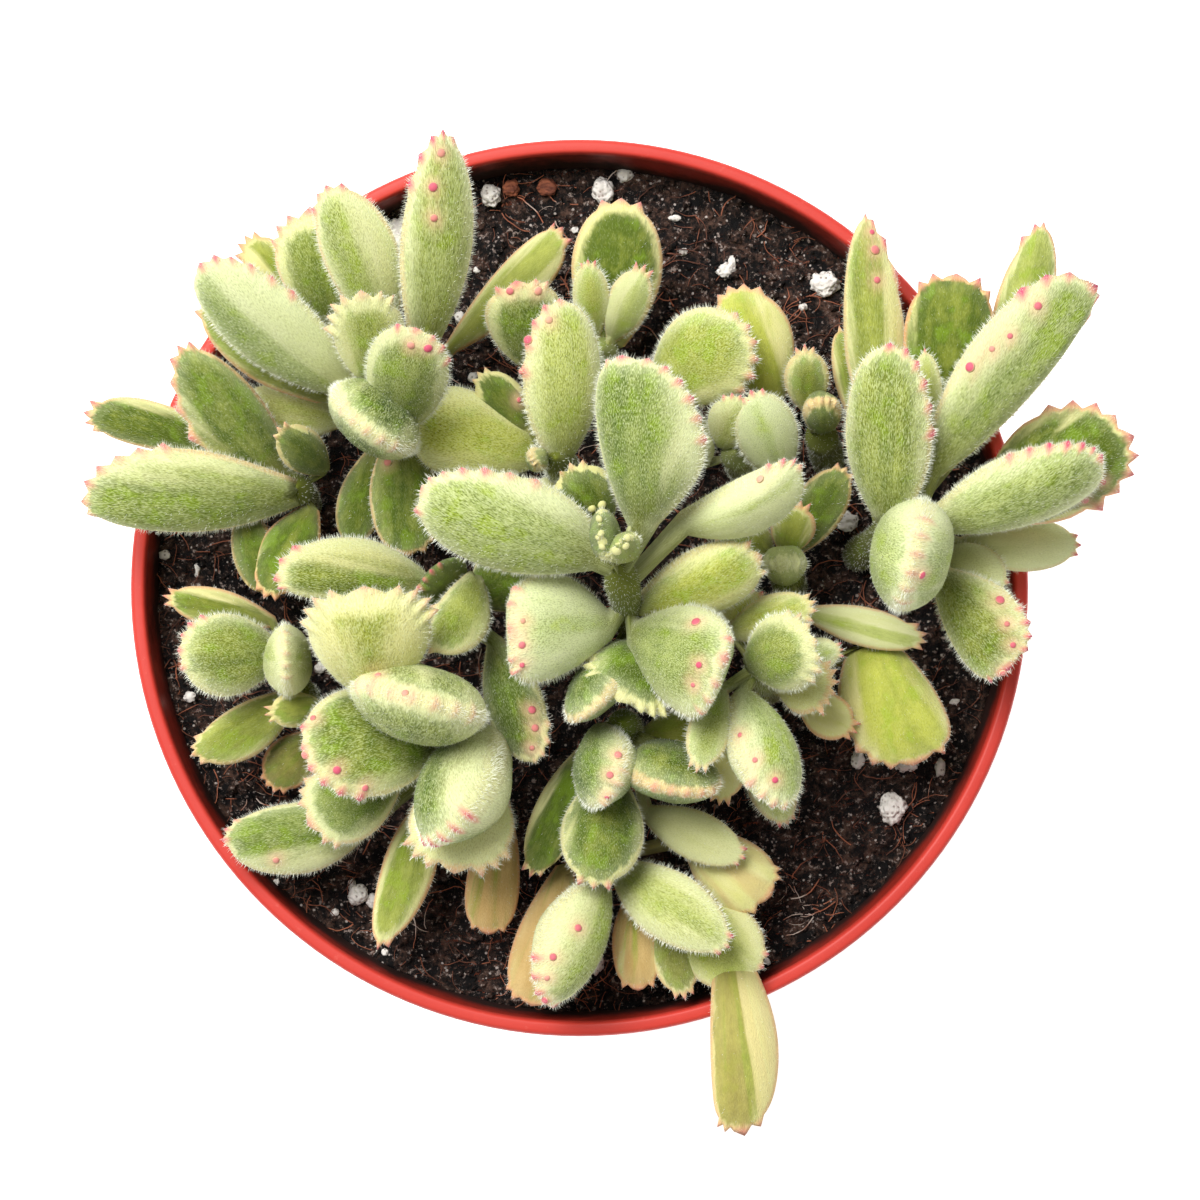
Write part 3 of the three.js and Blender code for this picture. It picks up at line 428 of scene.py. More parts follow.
def tooth_profile(angles, teeth, lengths):
    """How far the margin stands out at each angle: 1 at a claw's tip, below 0 in a valley."""
    pitch = tooth_pitch(teeth)
    from_tip = (90 - angles) / pitch
    number = np.minimum(np.round(from_tip), teeth)
    away = np.abs(from_tip - number) * 2
    claw = VALLEY + (1 - VALLEY) * np.clip(1 - away, 0, 1) ** CLAW_CURVE
    fade = np.clip(1 - (from_tip - teeth - 0.5) / TOOTHLESS_FADE, 0, 1)
    return np.where(away <= 1, claw, VALLEY * fade) * lengths[number.astype(int)]


def leaf_place(row, stem, slide):
    """A leaf's place in space, as in the CAD source: its spine, its side direction and its sizes."""
    low = row["low"] + slide
    high = row["high"] + slide
    root = seen_at(row["root"], low)
    if row["ridge"]:
        start, end = (seen_at(pixel, high) for pixel in row["ridge"])
        tip = (start + end) / 2
        wide = np.linalg.norm(end - start)
        thick = pixels_to_mm(row["thick"], high)
        across = unit(end - start)
        if np.dot(np.cross(across, UP), tip - stem.crown(low)) < 0:
            across = -across
    else:
        tip = seen_at(row["tip"], high)
        wide = pixels_to_mm(row["wide"], high)
        thick = pixels_to_mm(row["thick"], high) if row["thick"] else PLUMPNESS * wide
        across = np.cross(UP, unit((tip - root) * (1, 1, 0)))
    chord = tip - root
    direction = unit(chord)
    across = unit(across - direction * np.dot(across, direction))
    turn = Matrix.Rotation(math.radians(row["roll"]), 3, Vector(direction))
    across = np.array(turn @ Vector(across))
    face = np.cross(direction, across)
    middle = root + chord / 2 + face * row["arch"] * np.linalg.norm(chord)
    return {"root": root, "middle": middle, "tip": tip, "across": across, "wide": wide, "thick": thick,
            "axis": stem.crown(low)}


def on_leaf(place, u, v, lift, push_along=0.0, push_across=0.0):
    """Points of a leaf: u along it, v across it, lifted off its middle surface, with a push in its plane."""
    u = np.asarray(u, float)[..., None]
    root, middle, tip = place["root"], place["middle"], place["tip"]
    centre = root * (1 - u) ** 2 + middle * 2 * u * (1 - u) + tip * u ** 2
    along = (middle - root) * (1 - u) + (tip - middle) * u
    along = along / np.linalg.norm(along, axis=-1, keepdims=True)
    face = np.cross(along, place["across"])
    face = face / np.linalg.norm(face, axis=-1, keepdims=True)
    sideways = np.asarray(v * place["wide"] / 2 + push_across)[..., None]
    raised = np.asarray(lift - CUP * v * v * place["wide"])[..., None]
    forward = np.asarray(push_along + 0 * v)[..., None]
    return centre + place["across"] * sideways + along * forward + face * raised


# %% One leaf as a closed surface
def margin_rows(teeth, lengths, row, side):
    """One side's margin from stalk to tip, row by row: u, v, tooth and the angle of its push."""
    broad, full, point = (row[key][side] for key in ("broad", "full", "point"))
    flank = np.linspace(0, broad, FLANK_ROWS, endpoint=False)
    angles = margin_angles(teeth)
    u = np.concatenate((flank, broad + (1 - broad) * np.sin(np.radians(angles))))
    foot = NARROWER_FOOT * row["foot"]
    waist = foot + (1 - foot) * np.sin(np.pi / 2 * flank / broad)
    v = full * np.concatenate((waist, np.cos(np.radians(angles)) ** point))
    tooth = np.concatenate((0 * flank, tooth_profile(angles, teeth, lengths)))
    return u, v, tooth, np.radians(np.concatenate((0 * flank, angles)))


def leaf_surface(row, place, draw):
    """Points, faces and attributes of one leaf with its stalk."""
    lengths = [TOOTH_LENGTH * row["bite"] * draw.uniform(*TOOTH_CHANGE, MOST_TEETH) for _ in range(2)]
    lengths[1][0] = lengths[0][0]
    left, right = (np.array(margin_rows(n, lengths[k], row, k)) for k, n in enumerate(row["teeth"]))
    t = COLUMNS[None, :]
    s = np.abs(t)
    own = np.where(t[..., None] >= 0, left.T[:, None, :], right.T[:, None, :])
    own[:, COLUMNS == 0] = ((left + right) / 2).T[:, None, :]
    mean_u = ((left[0] + right[0]) / 2)[:, None]
    margin_u = mean_u + (own[..., 0] - mean_u) * s
    u = margin_u * (1 - MIDLINE_LAG * (1 - s)) + MIDLINE_LEAD * (1 - s)
    half = ((left[1] + right[1]) / 2)[:, None]
    to_tip = np.clip((1 - mean_u) / (1 - min(row["broad"])), 0, 1)
    v = own[..., 1] * t + ((left[1] - right[1]) / 2)[:, None] * (1 - s) * to_tip ** MIDLINE_FADE
    tooth = own[..., 2] * np.clip((s - PUSH_FROM) / (1 - PUSH_FROM), 0, 1) ** PUSH_CURVE
    rise = CROWN * (1 - s ** CROWN_FLATNESS) ** MARGIN_STEEPNESS * thickness_share(u)
    waves = np.sin(RIPPLES[0] * u + draw.uniform(*ANY_PHASE))
    waves = waves * np.cos(RIPPLES[1] * v + draw.uniform(*ANY_PHASE))
    ripple = RIPPLE * waves * (1 - s ** 4)
    push = (tooth * np.sin(own[..., 3]), tooth * np.cos(own[..., 3]) * np.sign(t))
    long = np.linalg.norm(place["tip"] - place["root"])
    inset = np.hypot((s - 1) * half * place["wide"] / 2, (margin_u - u) * long)
    grids = []
    for share in (UPPER_SHARE, -LOWER_SHARE):
        blade = on_leaf(place, u, v, share * place["thick"] * rise + ripple, *push)
        grids.append(np.concatenate((stalk_rows(place, blade[0], share > 0), blade)))
    points = np.array(grids)
    below = np.zeros((STALK_ROWS + 1, len(COLUMNS)))
    spread = v / np.mean(row["full"])
    comb = unit(place["tip"] - place["root"]) + place["across"] * spread[..., None]
    comb = np.concatenate((np.broadcast_to(comb[0], (STALK_ROWS + 1, *comb[0].shape)), comb))
    marks = {"along": np.concatenate((below + STALK_ALONG, u)),
             "side": np.concatenate((below + spread[0], spread)),
             "comb_x": comb[..., 0], "comb_y": comb[..., 1], "comb_z": comb[..., 2],
             "inset": np.concatenate((below + inset[0] + STALK_INSET, inset)),
             "tooth": np.concatenate((below, np.clip(tooth / (TOOTH_LENGTH * row["bite"]), 0, 1)))}
    marks = {key: np.array([values, values]).ravel() for key, values in marks.items()}
    face_side = np.concatenate((below, 0 * u + 1 - s ** 8))
    marks["face"] = np.array([face_side, -face_side]).ravel()
    return closed_grid(points, marks)


def stalk_rows(place, base, upper):
    """Rows that narrow from the leaf's base to a small round end on the stem's axis."""
    angle = np.arccos(np.clip(COLUMNS, -1, 1))
    lift = np.sin(angle) * (1 if upper else -1)
    end = place["axis"] + STALK_RADIUS * (place["across"] * COLUMNS[:, None] + UP * lift[:, None])
    shares = np.linspace(1, 0, STALK_ROWS, endpoint=False)[:, None, None]
    rows = end * shares ** STALK_TAPER + base * (1 - shares ** STALK_TAPER)
    return np.concatenate((np.broadcast_to(place["axis"], (1, len(COLUMNS), 3)), rows))


def closed_grid(points, marks):
    """Joins the upper and lower grids along the margin, the tip and the stalk's end."""
    _, rows, columns, _ = points.shape
    same = np.arange(2 * rows * columns).reshape(2, rows, columns)
    half = columns // 2
    same[:, -1, half + 1:] = same[:, -1, :half][:, ::-1]
    same[1, :, 0] = same[0, :, 0]
    same[1, :, -1] = same[0, :, -1]
    same[:, 0, :] = same[0, 0, 0]
    used, index = np.unique(same, return_inverse=True)
    index = index.reshape(same.shape)
    faces = []
    for layer in (0, 1):
        grid = index[layer]
        quads = np.stack((grid[:-1, :-1], grid[1:, :-1], grid[1:, 1:], grid[:-1, 1:]), -1).reshape(-1, 4)
        if layer:
            quads = quads[:, ::-1]
        for quad in quads:
            face = list(dict.fromkeys(quad.tolist()))
            if len(face) > 2:
                faces.append(face)
    kept = points.reshape(-1, 3)[used]
    if signed_volume(kept, faces) < 0:
        faces = [face[::-1] for face in faces]
    return kept, faces, {key: values[used] for key, values in marks.items()}


def signed_volume(points, faces):
    """The volume inside a closed surface, below 0 where its faces look inward."""
    total = 0.0
    for face in faces:
        for i in range(1, len(face) - 1):
            total += np.dot(points[face[0]], np.cross(points[face[i]], points[face[i + 1]]))
    return total / 6


# %% [markdown]
# ## Stems
# A stem is a curve through a few points, from its foot in the soil to its growing tip. The curve is the
# centripetal Catmull-Rom one that the CAD source uses, so a leaf's stalk starts on the same axis.

# %% Stem curve
SOIL_TOP = 90.0
STEM_DEPTH = 9.0
GAP = 0.3
STEM_RADIUS = 2.1
STEM_SIDES = 14
STEM_RINGS = 22
SCAR_SWELL = 0.07
SCAR_PACE = 26
STEM_END = 0.9
STEM_TIP_RISE = 0.3
SMALLEST_KNOT = 1e-4
HALVINGS = 20


class Stem:
    """A curved stem through given points, each a pixel with a height."""

    def __init__(self, pixels):
        places = [seen_at(p[:2], p[2]) for p in pixels]
        foot = places[0].copy()
        foot[2] = SOIL_TOP - STEM_DEPTH + GAP
        inner = [foot, *places]
        self.knots = [2 * inner[0] - inner[1], *inner, 2 * inner[-1] - inner[-2]]

    def at(self, share):
        """The point of the axis at a share of its length in knots, from 0 to 1."""
        count = len(self.knots) - 3
        number = min(int(share * count), count - 1)
        weight = share * count - number
        p0, p1, p2, p3 = self.knots[number:number + 4]
        spans = ((p0, p1), (p1, p2), (p2, p3))
        d0, d1, d2 = (max(SMALLEST_KNOT, np.linalg.norm(b - a) ** 0.5) for a, b in spans)
        start = ((p1 - p0) / d0 - (p2 - p0) / (d0 + d1) + (p2 - p1) / d1) * d1
        end = ((p2 - p1) / d1 - (p3 - p1) / (d1 + d2) + (p3 - p2) / d2) * d1
        a, b = weight ** 2, weight ** 3
        return p1 * (2 * b - 3 * a + 1) + p2 * (3 * a - 2 * b) + start * (b - 2 * a + weight) + end * (b - a)

    def crown(self, height):
        """The axis point at a height, held between the foot and the top."""
        low, high = 0.0, 1.0
        for _ in range(HALVINGS):
            half = (low + high) / 2
            if self.at(half)[2] < height:
                low = half
            else:
                high = half
        return self.at(low)

    def surface(self, draw):
        """A closed tube that swells a little at the old leaf scars and ends in a round tip."""
        shares = np.linspace(0, 1, STEM_RINGS)
        centres = np.array([self.at(share) for share in shares])
        scars = 1 + SCAR_SWELL * np.sin(shares * SCAR_PACE + draw.uniform(*ANY_PHASE))
        into_end = np.clip((shares - STEM_END) / (1 - STEM_END), 0, 1)
        ends = np.sqrt(np.clip(1 - into_end ** 2, 0.02, 1))
        points = [centres[0]]
        for centre, radius in zip(centres, STEM_RADIUS * scars * ends):
            points += [centre + radius * np.array((cos, sin, 0)) for cos, sin in circle(STEM_SIDES)]
        points.append(centres[-1] + UP * STEM_TIP_RISE)
        return np.array(points), ring_faces(STEM_RINGS, STEM_SIDES)


# %% [markdown]
# ## How each leaf is painted
# Variegation isn't random: a whole sector of a leaf may lack green, and sectors run along the leaf in
# streaks. So each leaf gets a look, a few numbers that say how deep and how warm its green is, how far cream
# reaches in from each side, how wide its pale margin is, and how strong the peach and pink of its edge are.

# %% Looks
# tone: pale 0 to deep 1. warm: grey-green 0 to olive 1. left, right: how far cream comes in from that side.
# band: width of the pale margin in mm. over: cream on the upper face above 0, on the lower one below 0.
# edge: peach along the margin. pink: colour of the claws. age: old and yellowed. fur: how hairy.
PLAIN = {"tone": 0.4, "warm": 0.3, "left": 0.0, "right": 0.0, "band": 0.6, "over": 0.0,
         "edge": 0.4, "pink": 0.6, "age": 0.0, "fur": 0.8}
LOOKS = {
    "velvet": {"tone": 0.45, "warm": 0.25, "band": 0.6, "edge": 0.15, "pink": 0.8, "fur": 1.0},
    "mint": {"tone": 0.2, "warm": 0.25, "left": 0.15, "right": 0.15, "band": 0.8, "edge": 0.25, "pink": 0.8,
             "fur": 1.0},
    "cream": {"tone": 0.3, "warm": 0.5, "left": 0.9, "right": 0.9, "band": 1.4, "edge": 0.15, "pink": 0.3,
              "fur": 0.8},
    "green": {"tone": 0.6, "warm": 0.6, "band": 0.45, "edge": 0.5, "fur": 0.7},
    # The deep look's dark green is partly the low leaves' own colour and partly painted shade.
    "deep": {"tone": 0.95, "warm": 0.6, "band": 0.25, "edge": 0.7, "fur": 0.6},
    "olive": {"tone": 0.85, "warm": 0.95, "band": 0.35, "edge": 0.6, "pink": 0.3, "fur": 0.35},
    "yellow": {"tone": 0.45, "warm": 1.0, "left": 0.2, "right": 0.2, "band": 0.6, "edge": 0.8, "pink": 0.4,
               "fur": 0.25},
    "old": {"tone": 0.6, "warm": 1.0, "left": 0.3, "right": 0.3, "edge": 0.8, "pink": 0.2, "age": 1.0,
            "fur": 0.2},
}
# How deep the teeth of a look are cut, as a share of the usual length.
BITES = {"velvet": 0.55, "mint": 0.6, "old": 0.7, "olive": 0.7}
USUAL_BITE = 0.9


def pair(value):
    """A value for the left and one for the right side. A single number stands for both."""
    return value if isinstance(value, tuple) else (value, value)


def leaf(root, tip=None, ridge=None, *, low, high, teeth=1, wide=0, thick=0, roll=0, arch=ARCH, bite=None,
         full=1, broad=BROADEST, point=1, foot=FOOT, look="velvet", **paint):
    """One leaf as it is seen: pixels from the picture, heights in mm above the pot's underside.

    Low and high are the heights of its root and tip, wide and thick its width and thickness in pixels.
    A leaf that stands on edge has a ridge, the two ends of its upper edge, in place of a tip. Arch is how
    far its middle is raised, as a share of its length, and roll turns it about its length, in degrees.

    A pair is for its left and right side: teeth is their number beside the one at the tip, full is how far
    the side swells, broad is where it is broadest, and point is over 1 for a pointed end and under 1 for a
    blunt one. Foot is the width at its base.
    """
    return {"root": root, "tip": tip, "ridge": ridge, "low": low, "high": high, "teeth": pair(teeth),
            "wide": wide, "thick": thick, "roll": roll, "arch": arch,
            "bite": bite or BITES.get(look, USUAL_BITE),
            "full": pair(full), "broad": pair(broad), "point": pair(point), "foot": foot,
            "paint": {**PLAIN, **LOOKS[look], **paint}}


# %% [markdown]
# ## The shoots
# Fifteen leafy stems share the pot. A leaf spreads from root to tip, or stands on edge below a ridge. The
# dots are the small pink glands that show on some faces, each at its pixel. The beads are unripe ones, still
# cream, on the folded young leaves in the very middle.

# %% Shoots in the north and west
SHOOTS = {}
SHOOTS["leafy_stem_northwest"] = {
    "stem": [(392, 415, 90), (380, 395, 104), (378, 388, 118)],
    "leaves": [
        leaf((350, 388), (202, 266), wide=88, low=112, high=123, roll=-28, point=0.8, teeth=(0, 5),
             tone=0.55, right=1),
        leaf((322, 396), (203, 303), wide=62, low=106, high=111, look="olive", tone=0.6, warm=1, edge=0.8),
        leaf((338, 325), (311, 214), wide=93, low=106, high=114, broad=0.62, point=0.7, teeth=(3, 1),
             look="green", tone=0.8, warm=0.7, left=0.2, band=1.3, edge=0.9),
        leaf((303, 308), (248, 240), wide=52, low=101, high=106, teeth=(2, 1), look="yellow", tone=0.6,
             left=0.8, right=0.6),
        leaf((385, 330), (327, 189), wide=78, low=113, high=123, full=(0.8, 1.15), teeth=(2, 1),
             look="mint", tone=0.35, warm=0.5, right=0.8, edge=0.7),
        leaf((425, 340), (443, 134), wide=78, low=115, high=126, roll=25, broad=0.5, point=1.15, foot=0.6,
             teeth=(3, 1), look="mint", tone=0.35, warm=0.5, left=0.1, right=0.35, edge=0.5, pink=1),
        leaf((380, 385), (362, 298), wide=74, low=114, high=127, broad=0.65, point=0.65, bite=1.3,
             teeth=(4, 2), look="cream", tone=0.55, warm=0.8, left=0.5, right=0.5),
        leaf((398, 425), (416, 330), wide=86, low=112, high=130, broad=0.62, point=0.75, teeth=(1, 3),
             tone=0.6, warm=0.55, band=1.4, edge=0.1),
        leaf((378, 412), ridge=((325, 398), (408, 463)), thick=60, low=108, high=128, bite=0.35,
             teeth=(2, 2), look="mint", tone=0.9, warm=0.7, over=-0.2, pink=0.25),
        leaf((340, 420), (235, 408), wide=58, low=104, high=107, look="mint", tone=0, warm=0.8, left=0.8,
             right=0.8),
        leaf((450, 346), (559, 231), wide=58, low=98, high=102, full=(0.6, 1.1), broad=0.65, point=0.8,
             look="green", tone=0.3, warm=0.8, left=0.6, right=0.25, band=0.8, edge=0.8, fur=0.3),
        leaf((400, 430), (408, 553), wide=70, low=104, high=106, point=0.7, teeth=(3, 0), look="olive",
             tone=0.9, warm=0.8),
        leaf((375, 450), (350, 545), wide=48, low=99, high=100, look="deep", tone=1, warm=1, band=0.1,
             edge=0.4, fur=0.3),
    ],
    "dots": [(441, 153), (433, 187), (434, 218), (411, 345), (428, 348), (388, 462)],
}
SHOOTS["leafy_stem_west"] = {
    "stem": [(305, 505, 90), (297, 487, 106)],
    "leaves": [
        leaf((288, 474), (181, 350), wide=80, low=103, high=114, full=(1.2, 0.75), broad=(0.42, 0.55),
             point=(1.2, 1), teeth=(4, 1), look="deep", tone=0.9, warm=0.75, edge=0.8),
        leaf((245, 456), (90, 414), wide=58, low=100, high=105, full=(0.65, 1), broad=(0.7, 0.65),
             point=(0.75, 0.9), teeth=(2, 1), look="deep", tone=1, warm=1, right=0.1, band=0.4, fur=0.45),
        leaf((300, 496), (86, 502), wide=90, low=104, high=112, roll=-25, full=(0.7, 1.25),
             broad=(0.5, 0.62), point=0.85, teeth=(1, 5), look="green", tone=0.65, warm=0.55, right=0.25,
             edge=0.7, fur=0.9),
        leaf((243, 505), (264, 592), wide=44, low=97, high=99, teeth=(2, 0), look="deep", tone=1, warm=1,
             band=0.1, edge=0.4, fur=0.3),
        leaf((312, 508), (266, 594), wide=60, low=102, high=105, look="olive", tone=1, edge=0.9, fur=0.2),
        leaf((325, 470), (280, 430), wide=45, low=103, high=112, look="olive", tone=0.95, edge=0.3),
    ],
}
SHOOTS["leafy_stem_middle_west"] = {
    "stem": [(455, 620, 90), (452, 606, 112)],
    "leaves": [
        leaf((430, 590), (277, 580), wide=74, low=110, high=120, full=(0.55, 1.3), broad=0.5,
             point=(0.9, 0.8), teeth=(1, 2), tone=0.8, warm=0.9, left=0.25, right=0.4, band=1.2),
        leaf((472, 574), (430, 650), wide=62, low=111, high=121, arch=0.02, full=(1.35, 0.5), broad=0.5,
             bite=0.9, teeth=(0, 5), look="olive", tone=0.55, warm=0.8, band=0.9, edge=0.3, fur=0.7),
        leaf((476, 600), (530, 560), wide=70, low=101, high=105, look="olive", tone=1, edge=0.3),
        leaf((450, 590), (432, 572), wide=62, low=103, high=116, teeth=(2, 1), look="deep", tone=1, warm=1,
             band=0, edge=0, fur=0.2),
        leaf((495, 642), (535, 761), wide=62, low=112, high=119, roll=15, teeth=(3, 0), tone=1, warm=0.85,
             pink=0.4, fur=0.7),
    ],
    "dots": [(532, 710), (535, 728), (532, 748)],
}
SHOOTS["leafy_stem_southwest_inner"] = {
    "stem": [(305, 700, 90), (293, 688, 108)],
    "leaves": [
        leaf((278, 652), (181, 650), wide=84, low=105, high=112, full=(1.1, 0.9), point=0.85, teeth=(1, 3),
             tone=0.7, warm=0.8, band=0.7),
        leaf((274, 622), (169, 597), wide=40, low=100, high=103, look="yellow", tone=0.7, right=0.4),
        leaf((297, 668), ridge=((283, 617), (287, 690)), thick=42, low=103, high=119, bite=0.4,
             teeth=(2, 2), look="cream", left=0.65, right=0.65, pink=0.2),
        leaf((320, 705), (270, 714), wide=36, low=106, high=112, look="yellow", tone=0.6, edge=0.2),
        leaf((294, 693), (195, 753), wide=54, low=98, high=102, full=(1.25, 0.7), teeth=(1, 2),
             look="olive", tone=0.5, warm=0.9, edge=0.5),
        leaf((318, 735), (268, 784), wide=52, low=95, high=96, teeth=(2, 1), look="olive", tone=1, warm=1,
             edge=1, age=0.25, fur=0.2),
    ],
}
SHOOTS["leafy_stem_southwest"] = {
    "stem": [(462, 748, 90), (472, 728, 118)],
    "leaves": [
        leaf((425, 705), ridge=((342, 680), (482, 717)), thick=72, low=114, high=131, bite=0.35,
             teeth=(3, 3), look="mint", tone=0.65, warm=0.6, over=-0.3, pink=0.25),
        leaf((445, 735), (304, 748), wide=116, low=110, high=119, roll=15, broad=(0.6, 0.55), point=0.9,
             teeth=(4, 1), tone=0.8, warm=0.8, left=0.2, band=0.9, edge=0.3, fur=0.8),
        leaf((398, 768), (313, 822), wide=84, low=103, high=108, broad=0.62, point=0.6, teeth=(2, 3),
             look="green", tone=0.8, warm=0.5, band=1.2, pink=0.4),
        leaf((375, 812), (226, 839), wide=74, low=98, high=103, full=(1.3, 0.65), broad=(0.5, 0.6),
             point=0.9, teeth=(0, 2), look="mint", tone=0.8, warm=0.5, left=0.25, band=0.6, fur=0.7),
        leaf((495, 737), (433, 843), wide=92, thick=80, low=114, high=122, roll=62, teeth=(3, 1), tone=0.85,
             warm=0.5, left=0.5),
        leaf((470, 765), (455, 866), wide=106, low=108, high=114, broad=0.6, point=0.65, bite=1.3,
             teeth=(3, 3), look="cream", tone=0, warm=0.8, left=1.3, right=1.3, band=2.2, edge=0.6),
        leaf((425, 800), (379, 944), wide=56, low=98, high=101, full=(1.15, 0.75), broad=0.45,
             point=(1.2, 1), teeth=(1, 0), look="green", tone=0.5, warm=0.85, band=1.2, edge=0.9, fur=0.3),
        leaf((378, 692), (365, 594), wide=126, low=108, high=118, broad=0.68, point=0.6, bite=1.3,
             teeth=(4, 4), look="cream", tone=0.55, warm=1, left=0.65, right=0.65, band=2.2),
        leaf((502, 800), (488, 930), wide=54, low=97, high=98.5, broad=0.7, point=0.5, look="old"),
    ],
    "dots": [(313, 718), (305, 755), (365, 788), (276, 860), (378, 675), (405, 693), (337, 770)],
}
SHOOTS["leafy_stem_north"] = {
    "stem": [(600, 362, 90), (602, 350, 106)],
    "leaves": [
        leaf((612, 345), (621, 203), wide=92, low=102, high=107, point=0.85, look="green", tone=0.95,
             warm=1, band=1.1, edge=0.6, fur=0.2),
        leaf((595, 335), (588, 263), wide=38, low=104, high=112, look="mint", tone=0, warm=0.8, left=0.3,
             right=0.3),
        leaf((612, 338), (643, 270), wide=44, low=104, high=112, look="green", tone=0.2, warm=0.5, left=1),
        leaf((535, 365), (517, 286), wide=78, low=104, high=116, broad=0.68, point=0.65, teeth=(1, 2),
             look="green", tone=0.8, warm=0.7, band=1.3, edge=0.4),
        leaf((625, 365), (652, 420), wide=50, low=101, high=103, look="olive"),
    ],
    "dots": [(510, 291), (538, 291)],
}

# %% Shoots in the middle and east
SHOOTS["leafy_stem_centre"] = {
    "stem": [(645, 645, 90), (632, 622, 108), (618, 566, 125)],
    "leaves": [
        leaf((600, 553), (424, 487), wide=112, low=123, high=128, roll=-25, full=(1, 0.9),
             broad=(0.6, 0.42), point=(0.65, 1.1), foot=0.5, teeth=(1, 6), tone=0.3, warm=0.3, right=0.25,
             band=1, pink=0.7),
        leaf((637, 525), (622, 359), wide=112, low=123, high=129, roll=-20, full=(0.55, 1.4),
             broad=(0.7, 0.45), point=(0.6, 0.75), teeth=(1, 6), tone=0.75, warm=0.45, right=0.1, band=0.7),
        leaf((680, 520), (798, 467), wide=68, thick=46, low=119, high=125, roll=32, full=(0.5, 1.45),
             broad=(0.6, 0.5), point=0.8, foot=0.5, teeth=(3, 0), look="cream", tone=0.1, warm=0.3,
             left=1.1, right=0.8, pink=0.8),
        leaf((640, 606), (757, 558), wide=72, thick=48, low=113, high=118, roll=25, broad=0.6, point=0.65,
             look="yellow", tone=0.3, warm=0.95, right=0.7, band=0.8, edge=0.3, fur=0.8),
        leaf((608, 626), (511, 628), wide=112, thick=58, low=114, high=124, arch=-0.08, broad=(0.75, 0.5),
             point=(0.5, 0.75), teeth=(2, 2), look="mint", tone=0, warm=0.1, left=0.8, right=0.8, pink=0.5),
        leaf((636, 632), (724, 658), wide=112, thick=58, low=114, high=126, arch=-0.08, full=(0.78, 1.2),
             broad=(0.5, 0.72), point=(0.7, 0.8), teeth=(1, 3), tone=0.6, warm=0.4, left=0.5, pink=0.5),
        leaf((600, 530), (572, 468), wide=68, low=117, high=123, look="olive", tone=0.95, warm=1, edge=0.1,
             fur=0.4),
        leaf((606, 545), ridge=((599, 500), (603, 552)), thick=28, low=128, high=136, bite=0.7,
             look="green", tone=0.95, warm=1, band=0.1, edge=0, pink=0, fur=0.5),
        leaf((622, 552), ridge=((606, 552), (638, 530)), thick=26, low=128, high=136, bite=0.7,
             look="green", warm=1, band=0.1, edge=0, pink=0, fur=0.5),
        leaf((648, 652), (621, 696), wide=94, low=109, high=119, broad=0.6, point=0.6, bite=1.2,
             teeth=(3, 4), look="green", tone=1, warm=0.85, band=0.6, edge=0.1, pink=0, fur=0.6),
        leaf((612, 665), ridge=((556, 737), (612, 695)), thick=42, low=108, high=120, bite=0.5,
             teeth=(2, 2), look="green", tone=1, band=0.5, pink=0.1, fur=0.8),
    ],
    "dots": [(760, 479), (523, 621), (522, 645), (522, 665), (696, 622), (699, 665), (693, 685)],
    "beads": [(592, 509), (602, 505), (599, 519), (598, 538), (602, 547), (629, 530), (627, 538), (626, 546),
              (616, 551), (608, 555)],
}
SHOOTS["leafy_stem_middle_north"] = {
    "stem": [(565, 475, 90), (556, 458, 118)],
    "leaves": [
        leaf((560, 460), (560, 302), wide=86, low=114, high=123, roll=25, broad=0.5, point=0.85,
             teeth=(4, 0), look="mint", tone=0.1, warm=0.6, right=0.6),
        leaf((560, 480), (520, 540), wide=60, low=103, high=106, look="cream", tone=0, warm=0.8, left=1.2,
             right=1.2),
        leaf((540, 455), (412, 426), wide=92, low=112, high=118, full=(0.92, 1.07), broad=(0.6, 0.7),
             point=0.75, teeth=(1, 2), look="green", tone=0.1, warm=0.9, left=0.6, right=0.6, band=1.2,
             edge=0.1, fur=0.9),
        leaf((530, 430), (480, 375), wide=46, low=105, high=108, look="olive", tone=0.95, band=0.7,
             edge=0.1, fur=0.2),
        leaf((540, 460), ridge=((527, 448), (538, 472)), thick=20, low=116, high=122, bite=0.5,
             look="green", tone=0.7, warm=1, pink=0.1),
    ],
    "dots": [(549, 320), (528, 340), (521, 372), (519, 400)],
}
SHOOTS["leafy_stem_northeast_inner"] = {
    "stem": [(745, 470, 90), (735, 452, 108)],
    "leaves": [
        leaf((658, 390), (746, 328), wide=98, low=104, high=112, teeth=(1, 4), look="green", tone=0.4,
             warm=0.85, right=0.4, band=0.7, edge=0.4, fur=0.9),
        leaf((775, 400), (730, 291), wide=72, low=101, high=106, full=(1, 1.2), teeth=(1, 2), look="yellow",
             tone=0.15, right=0.5),
        leaf((722, 445), (740, 398), wide=48, low=106, high=114, teeth=(2, 1), look="mint", tone=0,
             warm=0.7, left=0.7, right=0.7, band=0.7, edge=0.1),
        leaf((705, 465), (690, 438), wide=38, low=104, high=110, bite=1.3, teeth=(2, 2), look="cream",
             tone=0, left=1.1, right=1.1),
        leaf((782, 474), (752, 394), wide=64, low=105, high=114, look="mint", tone=0, warm=0.1, left=0.7,
             right=0.9),
    ],
}
SHOOTS["leafy_stem_east_small"] = {
    "stem": [(828, 462, 90), (820, 432, 101)],
    "leaves": [
        leaf((808, 410), (805, 350), wide=46, low=100, high=106, look="green", tone=0.7, warm=1, band=0.8),
        leaf((822, 420), ridge=((802, 402), (842, 400)), thick=36, low=100, high=110, bite=0.5,
             teeth=(2, 2), look="green", tone=0.9, warm=1, pink=0.1, fur=0.4),
    ],
}
